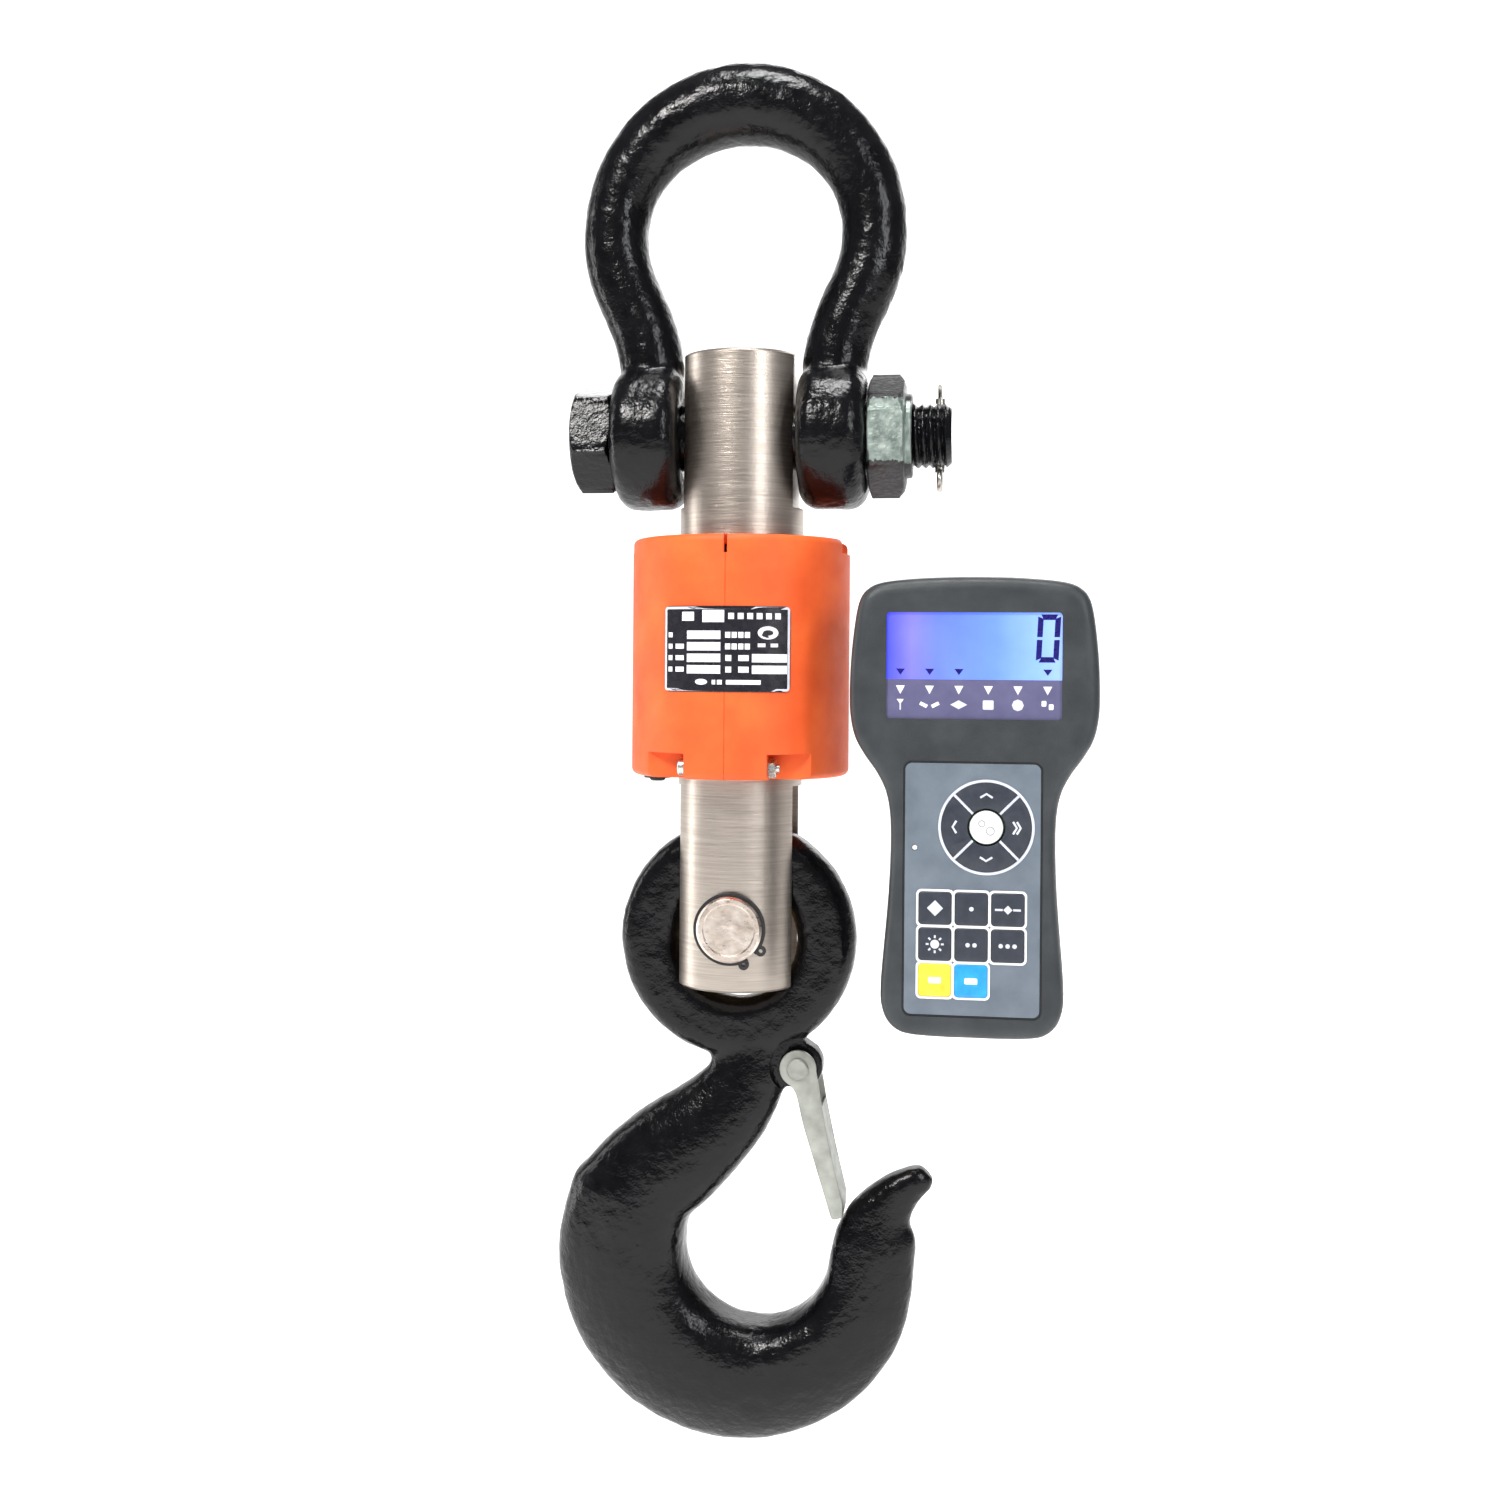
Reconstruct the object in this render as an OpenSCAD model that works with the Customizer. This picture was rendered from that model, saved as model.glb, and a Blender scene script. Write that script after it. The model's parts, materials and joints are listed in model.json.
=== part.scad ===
// Wireless crane scale: bow shackle, load bar with housing, eye hook with latch, handheld indicator.
// Millimetres, +Z up, the front faces -Y. The origin is at the bow's inner crown, where the scale hangs.

/* [Shackle] */
// Diameter of the bow's bar at its sides
bow_bar_d = 31.6; // [28:0.2:34]
// Radius of the bow's centreline arch
bow_arch_r = 61.5; // [58:0.5:66]
// Extra bar thickness at the crown
crown_extra = 6.8; // [0:0.2:10]
// Drop from the inner crown to the bolt's axis
bolt_drop = 138; // [132:1:146]
// Width between the two ears
jaw_w = 54; // [53:0.5:58]
// Outer diameter of an ear
ear_d = 68.4; // [62:0.2:74]
// Thickness of an ear along the bolt
ear_t = 32.5; // [30:0.5:36]
// Bolt diameter
bolt_d = 30; // [24:1:32]
// Bolt head size across its flats
head_af = 46; // [42:1:50]
// Nut size across its flats
nut_af = 50; // [46:1:54]

/* [Load bar] */
// Diameter of the load bar
bar_d = 58; // [54:0.5:60]
// Thickness of the bar between the flats that pass between the ears
flat_w = 51; // [46:0.5:52]
// Height of the bar's top above the bolt's axis
bar_rise = 37.5; // [30:0.5:42]
// Drop from the inner crown to the hook pin's axis
pin_drop = 365; // [355:1:375]
// Length of bar below the hook pin's axis
bar_tail = 29.5; // [24:0.5:34]
// Width of the fork slot
slot_w = 24.6; // [24.2:0.1:27]
// Height of the fork slot above the hook pin's axis
slot_rise = 64; // [62:0.5:66]
// Hook pin diameter
pin_d = 30; // [26:1:32]

/* [Housing] */
// Outer diameter of the housing
case_d = 102; // [98:0.5:106]
// Drop from the inner crown to the housing's top face
case_top = 186.8; // [184:0.2:190]
// Height of the housing
case_h = 109.4; // [104:0.2:110]
// Wall thickness of the housing
case_wall = 3.4; // [2.8:0.1:4]
// Nameplate width along the arc
plate_w = 60; // [50:1:66]
// Nameplate height
plate_h = 38; // [30:1:44]

/* [Hook] */
// Distance of the eye's centre below the hook pin's axis
eye_hang = 8.3; // [8.2:0.05:8.4]
// Outer radius of the eye
eye_r = 56; // [53:0.5:56.5]
// Inner radius of the eye
eye_hole_r = 27.5; // [27.5:0.1:28.5]
// Thickness of the eye, across the fork
eye_t = 23; // [20:0.5:23.4]
// Radius of the bowl's inner curve
bowl_r = 34; // [32:0.5:35]
// Greatest thickness of the bowl
bowl_t = 50; // [40:1:54]

/* [Indicator] */
// Distance of the indicator's centre to the right of the scale's axis
ind_x = 109; // [108:0.5:120]
// Drop from the inner crown to the indicator's centre
ind_drop = 305; // [300:0.5:312]
// Position of the indicator's front face, measured forwards from the scale's axis
ind_front = 64; // [62:1:74]
// Thickness of the indicator
ind_t = 36; // [32:0.5:38]
// Height of the indicator
ind_h = 197; // [196:1:202]
// Wall thickness of the indicator's cases
ind_wall = 2.4; // [2:0.1:2.8]
// Side of a square key
key_s = 14; // [12:0.2:14.2]
// Radius of the navigation ring
nav_r = 19; // [17:0.5:19.5]

/* [Hidden] */
$fn = 64;
EPS = 0.01;
bolt_z = -bolt_drop;
pin_z = -pin_drop;
eye_z = pin_z - eye_hang;
ear_x = jaw_w / 2 + ear_t / 2;
run = 0.05;

// ---------- Curves and lofts ----------

function unit(v) = v / norm(v);

// A point on a cubic Bezier curve through four control points
function bezier(a, b, c, d, t) =
    pow(1 - t, 3) * a + 3 * pow(1 - t, 2) * t * b + 3 * (1 - t) * t * t * c + t * t * t * d;

// A point between b and c on a smooth curve through a, b, c and d
function blend(a, b, c, d, t) =
    0.5 * (2 * b + (c - a) * t + (2 * a - 5 * b + 4 * c - d) * t * t + (3 * b - a - 3 * c + d) * t * t * t);

// A list of stations made denser, with steps pieces between each two
function dense(s, steps) = [
    for (i = [0:len(s) - 2])
        for (j = [0:steps - 1])
            blend(s[max(i - 1, 0)], s[i], s[i + 1], s[min(i + 2, len(s) - 1)], j / steps),
    s[len(s) - 1]
];

function tangent(p, i) = unit(p[min(i + 1, len(p) - 1)] - p[max(i - 1, 0)]);

function square_to(n, t) = unit(n - (n * t) * t);

// Normals carried along a path without twist
function normals(p, n, i = 0, done = []) =
    i == len(p) ? done
    : normals(p, n, i + 1, concat(done, [square_to(i == 0 ? n : done[i - 1], tangent(p, i))]));

// The rings of a round tube along a path, with one radius for each of its points
function tube_rings(p, radii, sides, n) =
    let (ns = normals(p, n))
    [for (i = [0:len(p) - 1])
        let (b = cross(tangent(p, i), ns[i]))
        [for (k = [0:sides - 1])
            p[i] + radii[i] * (cos(360 * k / sides) * ns[i] - sin(360 * k / sides) * b)]];

// A cap over a ring whose point k mirrors its point n - k, as strips that cross from side to side
function cap_faces(n) = concat(
    [[0, 1, n - 1]],
    [for (j = [1:n / 2 - 2]) [j, j + 1, n - j - 1, n - j]],
    [[n / 2 - 1, n / 2, n / 2 + 1]]
);

// A solid skinned over rings of n points each, closed by its first and last ring
module skin(rings) {
    n = len(rings[0]);
    last = len(rings) - 1;
    points = [for (r = rings) for (p = r) p];
    sides = [
        for (i = [0:last - 1])
            for (k = [0:n - 1])
                [i * n + k, i * n + (k + 1) % n, (i + 1) * n + (k + 1) % n, (i + 1) * n + k]
    ];
    start = [for (f = cap_faces(n)) [for (i = [len(f) - 1:-1:0]) f[i]]];
    end = [for (f = cap_faces(n)) [for (v = f) last * n + v]];
    polyhedron(points, concat(sides, start, end), convexity = 8);
}

module tube(p, r, sides = 8, n = [0, 1, 0]) {
    skin(tube_rings(p, [for (i = p) r], sides, n));
}

// ---------- Shared shapes ----------

module along_x() {
    rotate([0, 90, 0]) children();
}

// The child's axis along +Y, from the front towards the back
module along_y() {
    rotate([-90, 0, 0]) children();
}

// An outline drawn in X and Z, given a thickness centred on y = 0
module upright(t) {
    rotate([90, 0, 0]) linear_extrude(t, center = true) children();
}

// A rectangle with round corners, centred
module round_rect(w, h, r) {
    square([w - 2 * r, h], center = true);
    square([w, h - 2 * r], center = true);
    for (x = [-1, 1])
        for (y = [-1, 1])
            translate([x * (w / 2 - r), y * (h / 2 - r)]) circle(r);
}

// A ring about Z with round corners, between two radii
module round_ring(r_in, r_out, t, corner) {
    rotate_extrude()
        translate([(r_in + r_out) / 2, 0]) round_rect(r_out - r_in, t, corner);
}

// A plain ring about Z, standing on z = 0
module ring(r_in, r_out, h) {
    rotate_extrude()
        translate([r_in, 0]) square([r_out - r_in, h]);
}

// A hexagonal prism along X with its chamfered face outwards
module hex_x(af, t, chamfer) {
    along_x() intersection() {
        cylinder(h = t, d = af / cos(30), $fn = 6);
        rotate_extrude()
            polygon([[0, 0], [af, 0], [af, t - af * 0.32], [af / 2 - chamfer, t], [0, t]]);
    }
}

// A round rod with chamfered ends along Z
module rod(r, h, c) {
    rotate_extrude()
        polygon([[0, 0], [r - c, 0], [r, c], [r, h - c], [r - c, h], [0, h]]);
}

// ---------- Shackle ----------

leg_angle = 25;
leg_points = 9;
arch_points = 30;
leg_top = [bow_arch_r * cos(leg_angle), 0, -bow_arch_r * sin(leg_angle)];
arch_z = -bow_arch_r + (bow_bar_d + crown_extra) / 2;
leg_foot = [ear_x, 0, bolt_z + 14];

// Right leg of the bow's centreline, from the arch down into the ear
right_leg = [
    for (i = [1:leg_points])
        bezier(
            leg_top + [0, 0, arch_z], leg_top + [-9, 0, arch_z - 19],
            [ear_x - 1.5, 0, bolt_z + 40], leg_foot, i / leg_points
        )
];
arch = [
    for (i = [0:arch_points])
        let (a = 180 + leg_angle - (180 + 2 * leg_angle) * i / arch_points)
        [bow_arch_r * cos(a), 0, bow_arch_r * sin(a) + arch_z]
];
bow_line = concat(
    [for (i = [leg_points - 1:-1:0]) [-right_leg[i][0], 0, right_leg[i][2]]],
    arch,
    right_leg
);

// The bar is thickest at the crown and slims a little where it meets the ears
function bow_r(p) =
    bow_bar_d / 2 + crown_extra / 2 * pow(max(0, (p[2] - arch_z) / bow_arch_r), 2)
    - (p[2] < bolt_z + 22 ? 1.4 : 0);

module shackle_bow() {
    color("#16171a")
    difference() {
        union() {
            skin(tube_rings(bow_line, [for (p = bow_line) bow_r(p)], 16, [0, 1, 0]));
            for (x = [-ear_x, ear_x])
                translate([x, 0, bolt_z]) along_x()
                    round_ring(bolt_d / 2 - 4, ear_d / 2, ear_t, 9);
        }
        translate([-100, 0, bolt_z]) along_x() cylinder(h = 200, r = bolt_d / 2 + 0.4);
    }
}

head_x = -ear_x - ear_t / 2 - 0.3;
head_t = 19;
nut_x = ear_x + ear_t / 2 + 0.3;
nut_t = 17;
collar_t = 3;
bolt_end = 98;
thread_start = nut_x + nut_t + collar_t;
thread_pitch = 3.5;
cotter_x = 92.5;
cotter_r = 2.2;

module shackle_bolt() {
    color("#1b1b1e")
    difference() {
        union() {
            translate([head_x, 0, bolt_z]) mirror([1, 0, 0]) rotate([11, 0, 0])
                hex_x(head_af, head_t, 1);
            translate([head_x - EPS, 0, bolt_z]) along_x()
                cylinder(h = thread_start - head_x + 2 * EPS, r = bolt_d / 2);
            translate([thread_start, 0, bolt_z]) along_x() rotate_extrude()
                polygon(concat(
                    [[0, 0]],
                    [for (i = [0:3]) for (s = [[0.2, 0], [1.6, -1.6], [3.3, 0]])
                        [bolt_d / 2 + s[1], i * thread_pitch + s[0]]],
                    [[bolt_d / 2 - 2, bolt_end - thread_start], [0, bolt_end - thread_start]]
                ));
        }
        translate([cotter_x, 0, bolt_z - 30]) cylinder(h = 60, r = cotter_r + 0.3);
    }
}

module shackle_nut() {
    color("#8a9a94")
    translate([nut_x, 0, bolt_z]) difference() {
        union() {
            hex_x(nut_af, nut_t, 1.5);
            translate([nut_t - EPS, 0, 0]) along_x() cylinder(h = collar_t, r = bolt_d / 2 + 4.5);
        }
        translate([-1, 0, 0]) along_x() cylinder(h = nut_t + collar_t + 2, r = bolt_d / 2 + run);
    }
}

module cotter_pin() {
    loop_r = 4.2;
    low = bolt_z - bolt_d / 2 - 2;
    top = bolt_z + bolt_d / 2 + 2;
    color("#a3a39c") {
        translate([cotter_x, 0, low]) cylinder(h = top - low, r = cotter_r);
        translate([cotter_x, 0, low - loop_r + 0.6]) along_x()
            rotate_extrude() translate([loop_r, 0]) circle(1.3);
        for (s = [-1, 1])
            tube(
                [for (i = [0:6])
                    [cotter_x, s * (0.8 + 9 * (1 - cos(i * 14))), top - 1.6 + 6 * sin(i * 14)]],
                1, 8, [1, 0, 0]
            );
    }
}

// ---------- Load cell ----------

gauge_z = -case_top - case_h / 2;
flat_h = 71.5;
bar_top = bolt_z + bar_rise;
bar_end = pin_z - bar_tail;
side_screw_z = -case_top - 3.6;
pocket_depth = 2.4;

module load_body() {
    color("#b9ada2")
    difference() {
        translate([0, 0, bar_end]) rod(bar_d / 2, bar_top - bar_end, 1.2);
        for (s = [-1, 1])
            translate([s * (flat_w / 2 + 10), 0, bar_top - flat_h / 2 + 5])
                cube([20, bar_d + 2, flat_h + 10], center = true);
        translate([-50, 0, bolt_z]) along_x() cylinder(h = 100, r = bolt_d / 2 + run);
        translate([-50, -slot_w / 2, bar_end - 1]) cube([100, slot_w, slot_rise + bar_tail + 1]);
        translate([0, -50, pin_z]) along_y() cylinder(h = 100, r = pin_d / 2 + run);
        for (s = [-1, 1])
            translate([-7, s * (bar_d / 2 - pocket_depth / 2 + 2) - pocket_depth / 2 - 2, gauge_z - 13])
                cube([14, pocket_depth + 4, 26]);
        for (s = [0, 180])
            rotate([0, 0, s]) translate([flat_w / 2 - 6, 0, side_screw_z]) along_x() cylinder(h = 12, r = 1.8);
    }
}

clip_y = bar_d / 2 + 0.6;
clip_t = 1.5;
pin_half = 33.5;

module hook_pin() {
    groove_r = pin_d / 2 - 0.9;
    color("#c9bcae")
    translate([0, -pin_half, pin_z]) along_y() rotate_extrude()
        polygon([
            [0, 0.5], [pin_d / 2 - 3.5, 0.5], [pin_d / 2 - 3, 0], [pin_d / 2 - 1, 0], [pin_d / 2, 1],
            [pin_d / 2, pin_half - clip_y - clip_t - 0.1], [groove_r, pin_half - clip_y - clip_t - 0.1],
            [groove_r, pin_half - clip_y + 0.1], [pin_d / 2, pin_half - clip_y + 0.1],
            [pin_d / 2, pin_half + clip_y - 0.1], [groove_r, pin_half + clip_y - 0.1],
            [groove_r, pin_half + clip_y + clip_t + 0.1], [pin_d / 2, pin_half + clip_y + clip_t + 0.1],
            [pin_d / 2, 2 * pin_half - 1], [pin_d / 2 - 1, 2 * pin_half], [0, 2 * pin_half]
        ]);
}

// An external retaining ring lying in X and Z, with its gap at the lower right
module circlip() {
    gap = 34;
    lug_r = pin_d / 2 + 2.2;
    upright(clip_t) difference() {
        union() {
            difference() {
                circle(pin_d / 2 + 1.5);
                circle(pin_d / 2 - 0.8);
                rotate(-50) polygon([[0, 0], [40, -40 * tan(gap / 2 - 9)], [40, 40 * tan(gap / 2 - 9)]]);
            }
            for (a = [-50 - gap / 2, -50 + gap / 2])
                rotate(a) translate([lug_r, 0]) circle(2.4);
        }
        for (a = [-50 - gap / 2, -50 + gap / 2])
            rotate(a) translate([lug_r, 0]) circle(0.9);
        circle(pin_d / 2 - 0.8);
    }
}

module circlips() {
    color("#222222") {
        translate([0, -clip_y - clip_t / 2, pin_z]) circlip();
        translate([0, clip_y + clip_t / 2, pin_z]) circlip();
    }
}

sleeve_r = eye_hole_r - eye_hang - 0.25;

module spacer_sleeve() {
    half = slot_w / 2 - 0.3;
    color("#a98b52")
    translate([0, -half, pin_z]) along_y() ring(pin_d / 2 + 0.1, sleeve_r, 2 * half);
}

case_r = case_d / 2;
case_low = -case_top - case_h;
neck_r = bar_d / 2 + 2.6;
screw_y = 40.5;
screw_z = case_low + 5.3;
pocket_x = 18.7;
pocket_h = 11.5;
lid_t = 4.5;
button_pos = [-36, -18.5];
socket_pos = [-26, 32];

// The housing's outer form, round-edged
module case_solid(r, h, edge) {
    rotate_extrude() {
        square([r - edge, h]);
        translate([0, edge]) square([r, h - 2 * edge]);
        for (z = [edge, h - edge])
            translate([r - edge, z]) circle(edge);
    }
}

// One half of the housing, on the side of X that side names
module housing_half(side) {
    difference() {
        intersection() {
            translate([0, 0, case_low]) union() {
                difference() {
                    case_solid(case_r, case_h, 3);
                    translate([0, 0, lid_t]) cylinder(h = case_h - 2 * lid_t, r = case_r - case_wall);
                }
                for (s = [-1, 1])
                    intersection() {
                        case_solid(case_r, case_h, 3);
                        translate([-40, s > 0 ? 33 : -case_r, 0]) cube([80, case_r - 33, 16]);
                    }
                for (s = [-1, 1])
                    intersection() {
                        case_solid(case_r, case_h, 3);
                        translate([s > 0 ? 38 : -case_r, -18, case_h - 12]) cube([case_r - 38, 36, 12]);
                    }
            }
            translate([side > 0 ? 0.06 : -100.06, -100, case_low - 10]) cube([100, 200, case_h + 20]);
        }
        translate([0, 0, case_low - 1]) cylinder(h = case_h + 2, r = neck_r);
        for (s = [-1, 1]) {
            // Open pocket for the head or nut of a clamp screw
            translate([side > 0 ? pocket_x : -100 - pocket_x, s > 0 ? 35 : -60, case_low - 1])
                cube([100, 25, pocket_h + 1]);
            translate([-60, s * screw_y, screw_z]) along_x() cylinder(h = 120, r = 2.3);
        }
        // Notch over the side screw
        translate([side > 0 ? 43 : -63, -15, -case_top - 6.6]) cube([20, 30, 10]);
        translate([side > 0 ? 20 : -60, 0, side_screw_z]) along_x() cylinder(h = 40, r = 2.3);
        // Finger slit at the top of the seam
        for (s = [-1, 1])
            translate([-0.75, s * case_r - 4, -case_top - 8.5]) cube([1.5, 8, 10]);
        if (side < 0) {
            translate([button_pos[0], button_pos[1], case_low - 1]) cylinder(h = 12, r = 5.2);
            translate([socket_pos[0], socket_pos[1], case_low - 1]) cylinder(h = 12, r = 4.4);
        }
    }
}

module housing_left() {
    color("#f96a2e") housing_half(-1);
}

module housing_right() {
    color("#f96a2e") housing_half(1);
}

module top_seal() {
    color("#1d1d1d")
    translate([0, 0, -case_top - 1.7]) ring(bar_d / 2 + 0.1, neck_r - 0.1, 1.4);
}

module bottom_seal() {
    color("#1d1d1d")
    translate([0, 0, case_low + 0.8]) ring(bar_d / 2 + 0.1, neck_r - 0.1, 3.2);
}

plate_drop = 238;
plate_t = 0.5;

module nameplate() {
    chord = 2 * case_r * sin(plate_w / case_r * 90 / PI);
    color("#25262b")
    intersection() {
        translate([0, 0, -plate_drop - 30]) ring(case_r + 0.02, case_r + plate_t, 60);
        translate([0, -case_r, -plate_drop]) upright(40) round_rect(chord, plate_h, 2.5);
    }
}

module clamp_screws() {
    head_h = 3.4;
    color("#d2cfc8")
    for (s = [-1, 1])
        translate([0, s * screw_y, screw_z]) {
            translate([-pocket_x - 0.1 - head_h, 0, 0]) along_x() difference() {
                rod(3.9, head_h, 0.5);
                translate([0, 0, -1]) cylinder(h = 3, r = 2.2, $fn = 6);
            }
            translate([-pocket_x - 0.2, 0, 0]) along_x() cylinder(h = 2 * pocket_x + 5.2, r = 2);
        }
}

module clamp_nuts() {
    color("#d2cfc8")
    for (s = [-1, 1])
        translate([pocket_x + 0.1, s * screw_y, screw_z]) difference() {
            hex_x(7.8, 3.4, 0.4);
            translate([-1, 0, 0]) along_x() cylinder(h = 6, r = 2 + run);
        }
}

module side_screws() {
    color("#d2cfc8")
    for (s = [0, 180])
        rotate([0, 0, s]) translate([0, 0, side_screw_z]) {
            translate([43.1, 0, 0]) along_x() difference() {
                rod(2.9, 2.6, 0.4);
                translate([0, 0, 1.2]) cylinder(h = 3, r = 1.6, $fn = 6);
            }
            translate([flat_w / 2 - 4, 0, 0]) along_x() cylinder(h = 43.3 - flat_w / 2 + 4, r = 1.7);
        }
}

gauge_y = bar_d / 2 - pocket_depth;

module strain_gauges() {
    color("#c98a3c")
    for (s = [-1, 1])
        for (z = [-7, 7])
            translate([-5, s * (gauge_y + 0.15) - 0.1, gauge_z + z - 4]) cube([10, 0.2, 8]);
}

board_y = 35.5;

module gauge_leads() {
    color("#8c1f1f")
    for (x = [-4, 4])
        tube([for (i = [0:12])
            let (t = i / 12)
            bezier([x, gauge_y + 0.9, gauge_z + 3], [x, gauge_y + 7, gauge_z + 4],
                [x * 2, board_y - 7, gauge_z + 22], [x * 2, board_y - 0.9, gauge_z + 24], t)],
            0.6, 8, [1, 0, 0]);
}

module transmitter_board() {
    color("#1e6b3c") {
        translate([-25, board_y, gauge_z - 32]) cube([50, 1.6, 70]);
        translate([-12, board_y + 1.5, gauge_z + 2]) cube([18, 2.6, 24]);
        translate([-18, board_y + 1.5, gauge_z - 20]) cube([12, 2, 12]);
        translate([2, board_y + 1.5, gauge_z - 24]) cube([14, 5, 8]);
    }
}

module antenna() {
    color("#2b2b2b")
    translate([-19, board_y + 3.5, gauge_z + 29]) {
        translate([0, 0, -4]) rod(1.8, 4.5, 0.3);
        rod(1.1, 14, 0.3);
    }
}

cell_r = 7.1;
cell_h = 50;
cell_ring = 38.2;
cell_angles = [24, 52, 128, 156];
cell_z = gauge_z - 20;

module battery_cells() {
    color("#3f6fb5")
    for (a = cell_angles)
        translate([cell_ring * cos(a), -cell_ring * sin(a), cell_z]) {
            rod(cell_r, cell_h, 0.6);
            translate([0, 0, cell_h - EPS]) cylinder(h = 1.5, r = 2.6);
        }
}

module battery_holders() {
    color("#2d2d30")
    for (a = [-38, 218])
        rotate([0, 0, a])
            for (z = [cell_z - 3.2, cell_z + cell_h + 1.7])
                translate([0, 0, z]) intersection() {
                    ring(cell_ring - 7.5, cell_ring + 8.6, 3);
                    translate([20, -25, -1]) cube([40, 50, 6]);
                }
}

button_r = 3.7;

module power_button() {
    color("#202022")
    translate([button_pos[0], button_pos[1], case_low - 2.6]) rod(button_r, 8, 0.8);
}

module button_collar() {
    color("#303034")
    translate([button_pos[0], button_pos[1], 0]) {
        translate([0, 0, case_low - 1.2]) ring(button_r + 0.3, 6.2, 1.1);
        translate([0, 0, case_low - 0.2]) ring(button_r + 0.3, 5.1, 7);
    }
}

cap_r = 2.6;

module charge_socket() {
    color("#8f9094")
    translate([socket_pos[0], socket_pos[1], 0]) {
        translate([0, 0, case_low - 0.9]) ring(cap_r + 0.3, 5.4, 0.8);
        translate([0, 0, case_low - 0.2]) ring(cap_r + 0.3, 4.3, 8);
        translate([0, 0, case_low + 7.7]) cylinder(h = 1.5, r = 4.3);
    }
}

module dust_cap() {
    color("#222224")
    translate([socket_pos[0], socket_pos[1], case_low - 2.9]) {
        rod(5.6, 1.9, 0.5);
        translate([0, 0, 1.8]) rod(cap_r, 6, 0.6);
    }
}

// ---------- Hook ----------

bowl_x = 10;
bowl_z = eye_z - 145;
back_x = -0.5;
back_z = eye_z - 150;
back_r = 85.5;

// A station is [inner x, inner z, outer x, outer z, thickness at the inner side, at the outer side]
function bowl_station(a, t_in, t_out) = [
    bowl_x + bowl_r * cos(a), bowl_z - eye_z + bowl_r * sin(a),
    back_x + back_r * cos(a), back_z - eye_z + back_r * sin(a), t_in, t_out
];

hook_stations = dense([
    [25, -37, -7, -39, 20, 20],
    [27, -50, -12.6, -51, 22, 22],
    [25, -62, -14, -60, 25, 24],
    [20, -77, -26, -70, 31, 28],
    [12.5, -92.5, -42.5, -80.5, 38, 32],
    [0, -109.5, -57, -91.5, 44, 34],
    [-13.5, -124.5, -70.5, -105.5, 47, 34],
    bowl_station(158, bowl_t - 1, 34),
    bowl_station(182, bowl_t, 33),
    bowl_station(208, bowl_t, 32),
    bowl_station(234, bowl_t, 31),
    bowl_station(260, bowl_t, 30),
    bowl_station(286, bowl_t - 2, 29),
    bowl_station(312, bowl_t - 6, 27),
    bowl_station(337, bowl_t - 13, 25),
    [44, -146, 84.6, -141.5, 29, 22],
    [47.6, -133, 81.8, -131, 24, 20],
    [55.2, -120.6, 83.4, -124.6, 21, 18],
    [69.1, -109.5, 87, -118.6, 18, 15],
    [80, -104.4, 91, -114, 15, 12],
    [86.6, -103.2, 92.6, -109.4, 9, 8]
], 3);

// One cross-section of the hook: thick on the load side, slimmer and rounder at the back
function hook_ring(s, n = 18) =
    let (a = [s[0], 0, s[1] + eye_z], b = [s[2], 0, s[3] + eye_z])
    [for (k = [0:n - 1])
        let (
            q = 360 * k / n,
            u = (1 - cos(q)) / 2,
            t = s[4] * (1 - u) + s[5] * u,
            w = sign(sin(q)) * pow(abs(sin(q)), 0.75)
        )
        a * (1 - u) + b * u + [0, w * t / 2, 0]];

latch_x = 29.6;
latch_z = eye_z - 58.5;
latch_pin_r = 3.2;
lug_t = 11;

module hook() {
    color("#121214")
    difference() {
        union() {
            translate([0, 0, eye_z]) along_y() round_ring(eye_hole_r, eye_r, eye_t, 9);
            skin([for (s = hook_stations) hook_ring(s)]);
            translate([latch_x, 0, latch_z]) upright(lug_t) circle(11.5);
        }
        translate([0, -20, latch_z]) translate([latch_x, 0, 0]) along_y()
            cylinder(h = 40, r = latch_pin_r + 0.2);
        // Room beside the lug for the latch's cheeks and spring
        for (s = [-1, 1])
            translate([latch_x, s * (lug_t / 2 + 10), latch_z]) upright(20) circle(13.5);
    }
}

latch_len = 71;
latch_lean = 15.9;
cheek_in = 9.8;
cheek_t = 1.8;

// The latch's side outline, along -Z from its pivot at the origin
module cheek_outline() {
    circle(8.5);
    polygon([
        [-6.5, -5], [7, -5], [6.2, -20], [4.6, -40], [3.6, -latch_len + 6], [2, -latch_len],
        [-3.2, -latch_len], [-4.2, -latch_len + 6], [-4.4, -40], [-5, -20]
    ]);
}

module hook_latch() {
    color("#dfe1da")
    translate([latch_x, 0, latch_z]) rotate([0, -latch_lean, 0]) difference() {
        union() {
            for (s = [-1, 1])
                translate([0, s * (cheek_in + cheek_t / 2), 0]) upright(cheek_t) cheek_outline();
            upright(2 * cheek_in + cheek_t)
                polygon([
                    [4.9, -22], [5.95, -22], [4.5, -40], [3.6, -latch_len + 6], [2, -latch_len],
                    [0.2, -latch_len], [1.8, -latch_len + 6], [2.8, -40]
                ]);
        }
        translate([0, -20, 0]) along_y() cylinder(h = 40, r = latch_pin_r + run);
    }
}

module latch_pin() {
    half = cheek_in + cheek_t + 0.3;
    color("#b8b9b4")
    translate([latch_x, 0, latch_z]) {
        translate([0, -half - EPS, 0]) along_y() cylinder(h = 2 * half + 2 * EPS, r = latch_pin_r);
        translate([0, -half - 1.6, 0]) along_y() rod(5, 1.6, 0.6);
        translate([0, half, 0]) along_y() rod(5, 1.6, 0.6);
    }
}

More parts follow.
